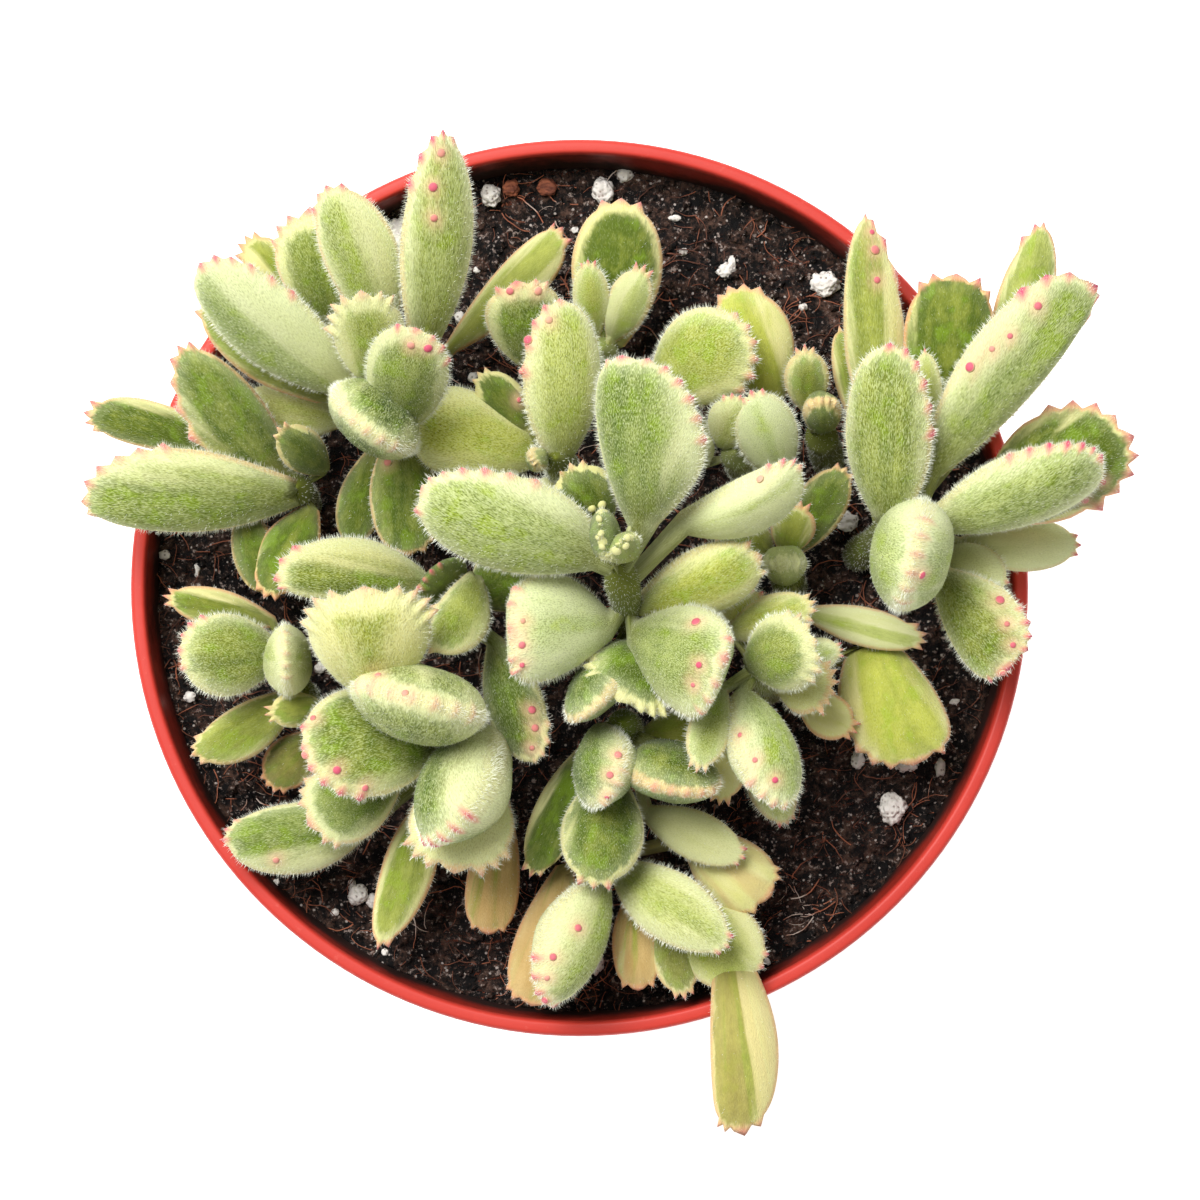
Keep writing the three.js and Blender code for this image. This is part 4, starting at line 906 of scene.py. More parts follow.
SHOOTS["leafy_stem_middle_east"] = {
    "stem": [(790, 590, 90), (786, 572, 102)],
    "leaves": [
        leaf((785, 555), (845, 470), wide=52, low=98, high=102, look="olive", tone=0.95, left=0.15),
        leaf((785, 552), (800, 505), wide=46, low=100, high=105, look="yellow", tone=0.3),
        leaf((770, 560), (720, 520), wide=56, low=98, high=102, look="olive", tone=0.5),
        leaf((784, 566), ridge=((762, 566), (808, 562)), thick=36, low=101, high=107, bite=0.5,
             teeth=(2, 2), look="green", tone=0.55, edge=0, pink=0),
        leaf((803, 612), (922, 641), wide=40, low=96, high=99, teeth=(2, 1), look="yellow", tone=0.1,
             warm=0.5, left=1, right=0.6, edge=0.6),
    ],
}
SHOOTS["leafy_stem_northeast"] = {
    "stem": [(858, 556, 90), (890, 532, 102), (925, 508, 118)],
    "leaves": [
        leaf((935, 474), (1096, 289), wide=82, low=114, high=121, roll=22, full=(1.6, 0.4),
             broad=(0.58, 0.5), point=(0.65, 0.9), foot=0.5, teeth=(3, 2), tone=0.55, warm=0.35, edge=0.5,
             pink=1),
        leaf((890, 524), (890, 347), wide=90, low=114, high=123, roll=-20, broad=0.5, point=0.8,
             teeth=(0, 5), tone=0.6, warm=0.65, right=0.15, edge=0.4),
        leaf((880, 430), (866, 217), wide=62, low=103, high=107, broad=0.4, point=(1.1, 1.5), teeth=(0, 3),
             look="mint", tone=0.6, warm=0.9, right=0.6, edge=0.5, fur=0.5),
        leaf((860, 430), (840, 330), wide=32, low=100, high=102, teeth=(0, 0), look="olive", tone=0.6,
             left=0.4, right=0.4),
        leaf((935, 430), (956, 279), wide=90, low=105, high=109, broad=0.65, point=0.65, bite=1,
             teeth=(2, 2), look="green", tone=0.95, warm=1, band=0.25, edge=1, fur=0.2),
        leaf((1000, 400), (1043, 226), wide=58, low=102, high=106, broad=0.5, point=(1.3, 1.1),
             teeth=(2, 0), look="green", tone=0.45, warm=0.7, band=0.8, edge=0.9, pink=1, fur=0.3),
        leaf((930, 440), (925, 352), wide=30, low=111, high=115, teeth=(0, 0), look="mint", tone=0.15,
             warm=0.8, left=0.4, right=0.3),
        leaf((985, 512), (1127, 440), wide=126, low=107, high=113, full=(1, 0.72), point=(0.8, 0.9),
             bite=1.1, teeth=(4, 4), look="deep", tone=1, warm=1, band=0.7, edge=1, fur=0.35),
        leaf((938, 520), (1099, 456), wide=80, thick=56, low=114, high=121, roll=30, broad=(0.5, 0.65),
             point=(1, 0.6), foot=0.5, teeth=(6, 0), look="mint", tone=0.5, warm=0.4, left=0.1, right=0.35,
             band=0.6, pink=1),
        leaf((960, 545), (1077, 545), wide=54, low=103, high=105, look="mint", tone=0, warm=0.3, left=1.2,
             right=1.2, fur=0.4),
        leaf((915, 535), ridge=((925, 516), (897, 630)), thick=74, low=112, high=128, bite=0.35,
             teeth=(3, 2), look="mint", tone=0.35, left=0.4, over=-0.2, pink=0.3),
        leaf((940, 577), (1005, 669), wide=80, low=107, high=113, roll=22, full=(1.25, 0.75),
             broad=(0.6, 0.7), point=(0.5, 0.4), teeth=(4, 1), tone=0.7, warm=0.85, left=0.2, edge=0.3,
             pink=1),
        leaf((945, 550), (1002, 590), wide=56, low=103, high=107, look="mint", tone=0, warm=0.4, left=1.3,
             right=1.3, edge=0.3),
    ],
    "dots": [(1038, 306), (1010, 336), (992, 349), (970, 367), (872, 232), (875, 250), (877, 280),
             (1103, 482), (1085, 500), (922, 575), (1000, 600), (1007, 624), (1013, 645), (1003, 673)],
}

# %% Shoots in the south
SHOOTS["leafy_stem_southeast"] = {
    "stem": [(768, 688, 90), (758, 664, 116)],
    "leaves": [
        leaf((752, 664), (813, 642), wide=80, low=113, high=123, point=0.8, teeth=(3, 3), look="green",
             tone=0.65, warm=0.75, band=1.2, edge=0.1, pink=0.2, fur=0.9),
        leaf((790, 660), (840, 650), wide=34, low=106, high=109, look="mint"),
        leaf((868, 642), (912, 761), wide=104, low=98, high=101, full=(0.95, 1), broad=(0.78, 0.5),
             point=(0.4, 0.8), foot=0.6, teeth=(1, 3), look="yellow", tone=0.1, left=0.15, right=0.5,
             band=0.5, fur=0.3),
        leaf((800, 700), (852, 730), wide=46, low=101, high=103, look="yellow", tone=0, left=1.1, right=1.1,
             edge=0.9),
        leaf((780, 678), (830, 692), wide=60, low=107, high=114, bite=1.3, teeth=(3, 2), look="cream",
             tone=0, warm=1, left=1.4, right=1.4, edge=0.8),
        leaf((738, 698), (784, 806), wide=74, thick=58, low=112, high=119, roll=-40, teeth=(0, 3),
             look="mint", tone=0.35, right=0.2, pink=0.4),
        leaf((750, 745), (787, 822), wide=46, low=98, high=99.5, look="mint", tone=0.1, warm=0.7, edge=0.6),
        leaf((735, 715), (720, 800), wide=46, low=103, high=104, look="yellow", tone=0, left=1.2, right=1.2,
             edge=0.6),
        leaf((728, 634), (811, 603), wide=46, low=108, high=113, teeth=(1, 2), look="yellow", tone=0.3,
             right=0.8, edge=0.3, fur=0.7),
        leaf((742, 640), (742, 590), wide=60, low=104, high=110, teeth=(1, 2), look="mint", tone=0, warm=1,
             left=0.7, right=0.7, band=1, edge=0.1, fur=0.8),
        leaf((722, 690), (698, 767), wide=44, low=108, high=113, look="green", tone=0.45, left=0.3,
             right=0.3, band=0.6, pink=0.3, fur=1),
    ],
    "dots": [(740, 735), (755, 760), (775, 780)],
}
SHOOTS["leafy_stem_south_inner"] = {
    "stem": [(628, 735, 90), (622, 722, 112)],
    "leaves": [
        leaf((608, 732), (604, 803), wide=76, thick=54, low=109, high=117, roll=58, teeth=(3, 0), tone=0.9,
             warm=0.45, left=0.2, pink=0.2),
        leaf((590, 745), (532, 872), wide=50, low=101, high=105, look="green", tone=1, warm=0.8, right=0.3,
             band=0.25, edge=0.2, fur=0.2),
        leaf((612, 775), (594, 884), wide=84, low=105, high=111, look="green", tone=0.9, warm=0.9, band=0.5,
             edge=0.1, fur=0.6),
        leaf((655, 755), ridge=((637, 783), (737, 803)), thick=50, low=106, high=118, bite=0.5,
             teeth=(2, 2), look="olive", tone=1, fur=0.7),
        leaf((640, 740), (720, 730), wide=56, low=99, high=103, look="olive", tone=0.2, edge=0.2),
        leaf((645, 812), (742, 857), wide=50, low=100, high=104, look="mint", tone=0, warm=0.6, left=1.2,
             right=1.2, edge=0.2, fur=0.6),
    ],
    "dots": [(618, 755), (610, 775), (607, 797)],
}
SHOOTS["leafy_stem_south"] = {
    "stem": [(612, 862, 90), (606, 850, 105)],
    "leaves": [
        leaf((622, 872), (727, 946), wide=70, low=102, high=108, broad=(0.5, 0.42), point=1.1, foot=0.6,
             look="mint", tone=0.3, warm=0.6, left=0.6, right=0.7, fur=0.9),
        leaf((598, 880), (546, 1002), wide=76, thick=56, low=103, high=110, roll=-40, full=(0.85, 1.15),
             teeth=(1, 3), look="mint", tone=0.4, warm=0.45, left=0.2, right=0.6),
        leaf((565, 868), (532, 1002), wide=66, low=97, high=99, broad=0.7, point=0.5, teeth=(2, 2),
             look="old", left=0.2),
        leaf((636, 890), (638, 986), wide=50, low=97, high=99, point=0.5, look="old", tone=0.4, left=0.6,
             right=0.6, age=0.95),
        leaf((662, 905), (684, 994), wide=48, low=96, high=98, look="green", tone=0.8, warm=0.7, band=0.7,
             age=0.15, fur=0.4),
        leaf((690, 903), (748, 979), wide=84, low=97, high=101, point=0.75, teeth=(2, 2), look="mint",
             tone=0.1, warm=0.7, left=0.6, right=0.2, fur=0.5),
        leaf((728, 960), (744, 1128), wide=70, low=99, high=104, full=(1.2, 0.8), broad=(0.5, 0.8),
             point=(0.9, 0.4), foot=0.75, teeth=(1, 2), look="yellow", tone=0.6, warm=0.9, left=0.7,
             right=0, edge=0.5, age=0.35, fur=0.1),
        leaf((690, 835), (768, 893), wide=84, low=96.5, high=100, full=(0.75, 1), broad=0.65,
             point=(0.5, 0.55), teeth=(2, 1), look="old", tone=0.2, left=1.1, right=1.1, edge=0.6, age=0.5),
    ],
    "dots": [(553, 957), (547, 978), (545, 1000), (578, 928)],
}
print("Shoots:", len(SHOOTS), "leaves:", sum(len(s["leaves"]) for s in SHOOTS.values()))

# %% [markdown]
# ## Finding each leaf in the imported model
# The CAD source slides a leaf up or down its stem until it is clear of other shoots. The fine leaf has to
# lie where the solid one does, so we try each slide and keep the one that falls on the node's corners best.

# %% Slides read back from the frame
SLIDES = np.arange(-16, 16.1, 0.5)
ROUND_ANGLES = (6, 34, 62)
CLEAR_OF_VALLEY = 12
SHOULDER_AT = 0.4
SHOULDER_WIDTH = 0.7
INNER_START = 0.03
INNER_LENGTH = 0.86
INNER_WIDTH = 0.62
FAR_OFF = 0.6


def coarse_corners(row, side):
    """u and v of the solid leaf's inner corners on one side, as the CAD source lays them."""
    teeth, broad, full, point = (row[key][side] for key in ("teeth", "broad", "full", "point"))
    pitch = tooth_pitch(teeth)
    first_valley = 90 - (teeth + 0.5) * pitch
    angles = [a for a in ROUND_ANGLES if a < first_valley - CLEAR_OF_VALLEY]
    angles += [first_valley + i * pitch for i in range(teeth + 1)]
    corners = [(0, row["foot"]), (SHOULDER_AT * broad, row["foot"] + (1 - row["foot"]) * SHOULDER_WIDTH)]
    corners += [(broad + (1 - broad) * math.sin(math.radians(a)), math.cos(math.radians(a)) ** point)
                for a in angles]
    return np.array(corners) * (1, full)


def find_slide(row, stem, corners_of_node):
    """The slide at which a leaf's inner corners lie nearest to the node's, and how far off they are."""
    left, right = (coarse_corners(row, side) for side in (0, 1))
    corners = np.concatenate((left, right * (1, -1)))
    u = INNER_START + INNER_LENGTH * corners[:, 0]
    misses = []
    for slide in SLIDES:
        place = leaf_place(row, stem, slide)
        miss = 0.0
        for share in (UPPER_SHARE, -LOWER_SHARE):
            lift = share * place["thick"] * thickness_share(u)
            for point in on_leaf(place, u, corners[:, 1] * INNER_WIDTH, lift):
                miss += min(FAR_OFF, corners_of_node.find(point)[2])
        misses.append(miss / (2 * len(u)))
    best = int(np.argmin(misses))
    return SLIDES[best], misses[best]


for name, shoot in SHOOTS.items():
    shoot["axis"] = Stem(shoot["stem"])
    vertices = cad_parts[name].data.vertices
    tree = KDTree(len(vertices))
    for vertex in vertices:
        tree.insert(vertex.co / MM, vertex.index)
    tree.balance()
    worst = 0.0
    for row in shoot["leaves"]:
        row["slide"], miss = find_slide(row, shoot["axis"], tree)
        worst = max(worst, miss)
    print(name, "worst miss in mm:", round(worst, 3))

# %% [markdown]
# ## Leaf colour
# The leaf's own attributes say where on it a point lies. Cream sectors start at a side and end in streaks
# that run along the blade. Over the colour lies a pale veil of down, drawn as fine strokes, with painted
# shade between the strokes and a painted sheen along the rim.

# %% Leaf colours
# Each pair runs from light to deep, or from one patch to the next.
GREENS = {"cool": ("#bccb88", "#587330"), "warm": ("#c4c957", "#51630c"), "lime": ("#b4c840", "#729016")}
CREAMS = {"cool": ("#d3dda0", "#e8edc4"), "warm": ("#d8d678", "#f0e8b0")}
OLD_YELLOWS = ("#e7c98c", "#b98f4a")
# Painted shade on the leaf's foot, by the stalk.
FOOT_SHADE_OLIVE = "#6c6a20"
EDGE_PEACH = "#e8a873"
# The pale of the down, also painted along the rim as a sheen.
DOWN_AND_SHEEN_PALE = "#e6edb8"
HALO = "#f0c4a0"
CLAW_ROSE = "#e79a88"
CLAW_PINK = "#d2466e"

# %% Leaf material
# Noises are stretched along and across the blade: sectors are broad, strokes are as fine as the down.
SECTOR = (0.9, 2.4)
PATCH = (3.4, 2.8)
SPECKLE = (15, 10)
STROKE = 58
MOTTLE = 330
DOWN_DEPTH = 0.00025

leaf_skin, sheet, shader = finish("furry_leaf", roughness=0.65, sheen_weight=0.12, sheen_roughness=0.5,
                                  specular_ior_level=0.2)
along, side, inset, face, tooth, halo, seed = sheet.attributes("along side inset face tooth halo seed")
tone, warm, left, right, band, over = sheet.attributes("tone warm left right band over")
edge, pink, age, fur = sheet.attributes("edge pink age fur")

# Five noises, from broad sectors to fine strokes.
fan = side / (along + 0.4)
sector = sheet.noise(sheet.vector(along * SECTOR[0], fan * SECTOR[1], seed), detail=3)
patch = sheet.noise(sheet.vector(along * PATCH[0], side * PATCH[1], seed + 7), detail=3, roughness=0.55)
speckle = sheet.noise(sheet.vector(along * SPECKLE[0], fan * SPECKLE[1], seed + 3), detail=3, roughness=0.6)
stroke = sheet.noise(sheet.vector(along * STROKE, fan * STROKE, seed), detail=1, roughness=0.6)
mottled = sheet.noise(sheet.place(), MOTTLE, roughness=0.6)

# Where the leaf is cream: from a side, on a face or along its margin, with ragged ends.
ragged = (sector - 0.5) * 1.3 + (patch - 0.5) * 0.4
soft = fur * 0.28 + 0.12
from_left = sheet.step(side + ragged - (1 - left), soft * -1, soft)
from_right = sheet.step(ragged - side - (1 - right), soft * -1, soft)
from_face = sheet.step(face * over + ragged * 0.5, 0.2, 0.45)
margin_band = sheet.step(inset + (patch - 0.5) * 2.2 + (speckle - 0.5) * 0.8, band * 1.4, band * 0.5)
cream_area = sheet.either(sheet.either(from_left, from_right), sheet.either(from_face, margin_band))

# Green, cream, age, and painted shade at the foot.
depth = sheet.clamp(tone + (sector - 0.5) * 0.9 + (mottled - 0.5) * 0.8 + (speckle - 0.5) * 0.5)
green = sheet.blend(warm, sheet.blend(depth, *GREENS["cool"]), sheet.blend(depth, *GREENS["warm"]))
lime_patch = sheet.step(mottled * 0.6 + patch * 0.4, 0.5, 0.62) * (1 - age)
green = sheet.blend(lime_patch * 0.7, green, sheet.blend(tone, *GREENS["lime"]))
cream = sheet.blend(warm, sheet.blend(patch, *CREAMS["cool"]), sheet.blend(patch, *CREAMS["warm"]))
skin = sheet.blend(cream_area * (0.95 - fur * 0.15), green, cream)
skin = sheet.blend(age * sheet.step(sector, 0.3, 0.55), skin, sheet.blend(patch, *OLD_YELLOWS))
# Painted shade: near the stalk the foot turns dark olive.
skin = sheet.blend(sheet.step(along, 0.35, 0.0) * 0.6, skin, FOOT_SHADE_OLIVE)
skin = sheet.blend(sheet.step(inset + (speckle - 0.5) * 0.5, 0.65, 0.12) * edge, skin, EDGE_PEACH)

# The down: painted shade between its strokes, and a pale veil of strokes with a painted sheen thickest at
# the rim.
down_gap_shade = sheet.step(stroke, 0.48, 0.34) * fur * (0.85 - cream_area * 0.4)
skin = sheet.blend(down_gap_shade, skin, sheet.shade(skin, 0.42, 1.2))
# Pale down strokes, and a painted sheen that grows towards the rim.
down_and_rim_sheen = sheet.step(inset, 2.6, 0.2) * 0.34 + sheet.step(stroke, 0.52, 0.64) * 0.34
skin = sheet.blend(sheet.clamp(down_and_rim_sheen * fur), skin, DOWN_AND_SHEEN_PALE)

# Glands and claws.
skin = sheet.blend(halo * 0.7, skin, HALO)
skin = sheet.blend(sheet.step(tooth, 0.08, 0.5) * pink * 0.75, skin, CLAW_ROSE)
skin = sheet.blend(sheet.step(tooth, 0.4, 0.85) * pink * 0.9, skin, CLAW_PINK)
sheet.plug(shader["Base Color"], skin)
sheet.plug(shader["Normal"], sheet.bump(stroke, DOWN_DEPTH, 0.6))

# %% [markdown]
# ## Glands, skin and all
# The small pink dots are raised glands. Each is dropped along the line of sight through its pixel onto the
# leaf below it, as a low dome that takes on the markings of the skin round it. A ripe one is pink and has a
# peach halo; a bead is unripe and stays cream.

# %% Gland domes
GLAND_RADIUS = (0.35, 0.7)
GLAND_RISE = 0.55
GLAND_SIDES = 10
HALO_REACH = 1.1
HALO_STRENGTH = 0.7
GLAND_PINK = (0.35, 1.0)
BEAD_LOOK = {"pink": 0.0, "halo": 0.0, "face": 1.0, "over": 1.5}
# The dome's rings from the bottom up: reach, lift, and how pink they are. Its foot is sunk into the skin.
GLAND_RINGS = ((1, -0.08, 0), (0.8, 0.45, 0.7), (0.45, 0.85, 1))
GLAND_FOOT = -0.2


def gland(centre, normal, radius):
    """A low dome standing on the skin, closed underneath. Its last column is 1 at the top and 0 below."""
    turn = np.array(Vector(normal).to_track_quat("Z", "Y").to_matrix())
    points = [(0, 0, GLAND_FOOT, 0)]
    for reach, lift, share in GLAND_RINGS:
        points += [(reach * cos, reach * sin, lift, share) for cos, sin in circle(GLAND_SIDES)]
    points = np.array([*points, (0, 0, 1, 1)])
    local = points[:, :3] * radius * (1, 1, GLAND_RISE)
    return centre + local @ turn.T, ring_faces(len(GLAND_RINGS), GLAND_SIDES), points[:, 3]


def add_glands(parts, dots, beads, draw):
    """Puts a gland on the uppermost skin at each pixel, with the attributes of the nearest skin point."""
    points, skin_marks = parts.joined()
    tree = BVHTree.FromPolygons(points.tolist(), parts.faces)
    skins = len(parts.points)
    halo = np.zeros(len(points))
    for pixel in [*dots, *beads]:
        spot, normal, _, _ = tree.ray_cast(Vector(EYE), Vector(ray_through(pixel)).normalized())
        if spot is None:
            print("no leaf below the dot at", pixel)
            continue
        away = np.linalg.norm(points - np.array(spot), axis=1)
        marks = {key: values[np.argmin(away)] for key, values in skin_marks.items()}
        dome, faces, share = gland(np.array(spot), normal, draw.uniform(*GLAND_RADIUS))
        look = {"pink": draw.uniform(*GLAND_PINK), "halo": HALO_STRENGTH}
        if pixel in beads:
            look = BEAD_LOOK
        else:
            halo = np.maximum(halo, np.exp(-(away / HALO_REACH) ** 2))
        parts.add(dome, faces, **{**marks, "tooth": share, "hairs": 0.0, **look})
    parts.attributes["halo"][:skins] = [halo]


# %% Leaf meshes
FIRST_SEED = 100
SEED_STEP = 3.7
SEEDS_PER_SHOOT = 17
HAIRY_MARGIN = 0.35
FACE_HAIR = 0.09
LOWER_HAIR = 0.4
BARE_FOOT = 0.15
STEM_MARKS = {"along": 0.1, "side": 0, "inset": 3, "face": 0, "tooth": 0, "hairs": 0.25, "halo": 0.0,
              "comb_x": 0.0, "comb_y": 0.0, "comb_z": 1.0}
STEM_PAINT = {**PLAIN, **LOOKS["olive"], "tone": 1.0, "fur": 0.6}


def hair_share(marks, paint):
    """How densely hairs stand at each point: most along the margin, none on the stalk."""
    along_margin = np.exp(-np.clip(marks["inset"], 0, None) / HAIRY_MARGIN)
    below = np.where(marks["face"] < 0, LOWER_HAIR, 1.0)
    density = FACE_HAIR + (1 - FACE_HAIR) * along_margin
    return paint["fur"] * density * below * np.clip(marks["along"] / BARE_FOOT, 0, 1)


leafy = {}
for number, (name, shoot) in enumerate(SHOOTS.items()):
    parts = Parts()
    draw = np.random.RandomState(FIRST_SEED + number)
    for count, row in enumerate(shoot["leaves"]):
        place = leaf_place(row, shoot["axis"], row["slide"])
        points, faces, marks = leaf_surface(row, place, draw)
        marks["hairs"] = hair_share(marks, row["paint"])
        marks["seed"] = (number * SEEDS_PER_SHOOT + count) * SEED_STEP
        parts.add(points, faces, halo=0.0, **marks, **row["paint"])
    points, faces = shoot["axis"].surface(draw)
    parts.add(points, faces, seed=number, **STEM_MARKS, **STEM_PAINT)
    add_glands(parts, shoot.get("dots", []), shoot.get("beads", []), draw)
    leafy[name] = parts.piece(name + "_skin", leaf_skin)

# %% [markdown]
# ## Growing things with Geometry Nodes
# Hairs, crumbs and fibres repeat thousands of times over a surface, which is what Geometry Nodes are for.
# Each tree has named inputs, ends in Realize Instances and Set Material, and is turned into a mesh.


# %% Geometry trees
class Growth(Sheet):
    """A geometry tree with named inputs that scatters things over a host mesh."""

    def __init__(self, name, **inputs):
        tree = bpy.data.node_groups.new(name, "GeometryNodeTree")
        super().__init__(tree)
        tree.interface.new_socket("Geometry", in_out="INPUT", socket_type="NodeSocketGeometry")
        for label, value in inputs.items():
            kind = "NodeSocketInt" if isinstance(value, int) else "NodeSocketFloat"
            tree.interface.new_socket(label, in_out="INPUT", socket_type=kind).default_value = value
        tree.interface.new_socket("material", in_out="INPUT", socket_type="NodeSocketMaterial")
        tree.interface.new_socket("Geometry", in_out="OUTPUT", socket_type="NodeSocketGeometry")
        self.entry = tree.nodes.new("NodeGroupInput")
        self.exit = tree.nodes.new("NodeGroupOutput")

    def given(self, label):
        return Wire(self, self.entry.outputs[label])

    def draw(self, low, high, seed):
        """A random number for each point or instance."""
        return self.node("FunctionNodeRandomValue", {"data_type": "FLOAT"}, {2: low, 3: high, 8: seed}, 1)

    def draw_vector(self, size, seed):
        sockets = {0: (-size,) * 3, 1: (size,) * 3, 8: seed}
        return self.node("FunctionNodeRandomValue", {"data_type": "FLOAT_VECTOR"}, sockets)

    def scaled(self, vector, factor):
        return self.node("ShaderNodeVectorMath", {"operation": "SCALE"}, {0: vector, "Scale": factor})

    def carried(self, name):
        """A number that the host mesh carries at each point."""
        return self.node("GeometryNodeInputNamedAttribute", {"data_type": "FLOAT"}, {"Name": name})

    def scatter(self, density):
        """Points over the host's faces, and the node, for its normals."""
        node = self.tree.nodes.new("GeometryNodeDistributePointsOnFaces")
        self.plug(node.inputs["Mesh"], self.given("Geometry"))
        self.plug(node.inputs["Density"], density)
        self.plug(node.inputs["Seed"], self.given("seed"))
        return Wire(self, node.outputs["Points"]), Wire(self, node.outputs["Normal"])

    def upright_on(self, direction):
        return self.node("FunctionNodeAlignRotationToVector", {"axis": "Z"}, {"Vector": direction})

    def place_on(self, points, shape, rotation, scale):
        sockets = {"Points": points, "Instance": shape, "Rotation": rotation, "Scale": scale}
        return self.node("GeometryNodeInstanceOnPoints", {}, sockets)

    def realize(self, instances):
        return self.node("GeometryNodeRealizeInstances", {}, {"Geometry": instances})

    def shaken(self, instances, scale, middle, size):
        """Real instances whose every point is nudged by a noise, less its middle value, times a size."""
        nudge = self.node("ShaderNodeTexNoise", {}, {"Scale": scale, "Detail": 1.0}, "Color")
        nudge = self.scaled(self.vectors("SUBTRACT", nudge, middle), size)
        sockets = {"Geometry": self.realize(instances), "Offset": nudge}
        return self.node("GeometryNodeSetPosition", {}, sockets)

    def end(self, geometry):
        sockets = {"Geometry": geometry, "Material": self.given("material")}
        finished = self.node("GeometryNodeSetMaterial", {}, sockets)
        self.plug(self.exit.inputs["Geometry"], finished)


def grow(name, host, growth, material):
    """Runs a growth on a host mesh and gives the result as a new plain mesh object."""
    piece = bpy.data.objects.new(name, host.data.copy())
    bpy.context.scene.collection.objects.link(piece)
    modifier = piece.modifiers.new("growth", "NODES")
    modifier.node_group = growth.tree
    for item in growth.tree.interface.items_tree:
        if item.name == "material":
            modifier[item.identifier] = material
    evaluated = piece.evaluated_get(bpy.context.evaluated_depsgraph_get())
    mesh = bpy.data.meshes.new_from_object(evaluated)
    piece.modifiers.clear()
    piece.data = mesh
    return piece


# %% [markdown]
# ## Hairs
# Fine white hairs about a millimetre long cover the young leaves and catch the light along their margins.
# A three-sided spike is enough for each one: it is far thinner than a pixel.

# %% Hair tree
# Lean is how unruly a hair is, comb how far it lies along the blade. Hairs on the face are weaker.
HAIR = {"per_square_metre": 1.8e7, "length": 0.0008, "width": 0.00007, "lean": 0.35, "comb": 0.9, "seed": 3}
HAIR_LENGTHS = (0.55, 1.15)
WEAKER_ON_FACE = 0.5

tree = Growth("hairs", **HAIR)
amount, *comb = (tree.carried(name) for name in ("hairs", "comb_x", "comb_y", "comb_z"))
points, normal = tree.scatter(amount * tree.given("per_square_metre"))
on_face = 1 - tree.clamp(amount)
combed = tree.scaled(tree.vector(*comb), on_face * tree.given("comb"))
unruly = tree.scaled(tree.draw_vector(1.0, seed=5), tree.given("lean"))
direction = tree.vectors("ADD", tree.vectors("ADD", normal, combed), unruly)
spike = tree.node("GeometryNodeMeshCone", {"fill_type": "NGON"},
                  {"Vertices": 3, "Radius Top": 0.0, "Radius Bottom": 0.5, "Depth": 1.0})
vigour = 1 - on_face * WEAKER_ON_FACE
long = tree.given("length") * tree.draw(*HAIR_LENGTHS, seed=7) * vigour
slim = tree.given("width") * vigour
hairs = tree.place_on(points, spike, tree.upright_on(direction), tree.vector(slim, slim, long))
tree.end(tree.realize(hairs))

white_hair, _, _ = finish("white_hair", roughness=0.6, specular_ior_level=0.1, base_color=colour("#f4f6e8"))

# %% Hairs on every shoot
for name, piece in leafy.items():
    keep(piece, "leaf", name)
    keep(grow(name + "_hairs", piece, tree, white_hair), "leaf")

# %% [markdown]
# ## The pot
# A nursery pot is one thin moulded shell, so its shape is a profile turned round the axis. The profile
# follows the CAD one, with its corners rounded, and the drainage holes are cut by a Boolean.

# %% Turning a profile
LIP_WIDTH = 1.9
LIP_SKIRT = 9.0
FOOT_BAND = 9.0
LARGEST_CUT = 0.45
ARC_STEPS = 4
RIM_LEAN = 0.09
WALL = 1.3
FLOOR_RADIUS = 42.0
FLOOR_THICKNESS = 1.6
POT_SIDES = 160
SKIRT_BOTTOM = POT_HEIGHT - LIP_SKIRT


def inside_radius(z):
    """The inside radius of the pot's wall at a height, as in the CAD source."""
    top = RIM_RADIUS - LIP_WIDTH
    if z > SKIRT_BOTTOM:
        return top - RIM_LEAN * (POT_HEIGHT - z)
    share = (z - FLOOR_THICKNESS) / (SKIRT_BOTTOM - FLOOR_THICKNESS)
    return FLOOR_RADIUS - WALL + share * (top - RIM_LEAN * LIP_SKIRT - FLOOR_RADIUS + WALL)


def rounded(corners, radius):
    """Replaces each inner corner of an open profile by a short arc that stays within the radius."""
    line = [np.array(corners[0], float)]
    for before, corner, after in zip(corners, corners[1:], corners[2:]):
        before, corner, after = (np.array(p, float) for p in (before, corner, after))
        sides = np.linalg.norm(before - corner), np.linalg.norm(after - corner)
        cut = min(radius, LARGEST_CUT * min(sides))
        start = corner + unit(before - corner) * cut
        end = corner + unit(after - corner) * cut
        for share in np.linspace(0, 1, ARC_STEPS):
            line.append(start * (1 - share) ** 2 + corner * 2 * share * (1 - share) + end * share ** 2)
    return [*line, np.array(corners[-1], float)]


def turned(profile, sides):
    """Points and faces of a closed profile turned about the axis. It starts and ends on the axis."""
    points = [(0, 0, profile[0][1])]
    points += [(r * cos, r * sin, z) for r, z in profile[1:-1] for cos, sin in circle(sides)]
    points.append((0, 0, profile[-1][1]))
    return np.array(points), ring_faces(len(profile) - 2, sides)


# %% Red plastic
# Inside, below the rim, the wall is painted a deeper red for the shade in the pot, and it turns dark brown
# in patches the lower it goes.
REDS = ("#c4362d", "#cc463b")
SCUFF_PINK = "#f09a8c"
INNER_SHADE_RED = "#8f2415"
LOW_WALL_BROWN = "#2b1510"
WEAR_SCALE = 60
SCUFF_SCALE = 700
PLASTIC_DEPTH = 0.0001
DARKENING_FROM = 0.0985
DARKENING_PACE = 60
WALL_EDGE = (0.0003, -0.0003)
FLOOR_FADE = (0.0008, 0.0014)
RIM_FADE = (0.0975, 0.0965)

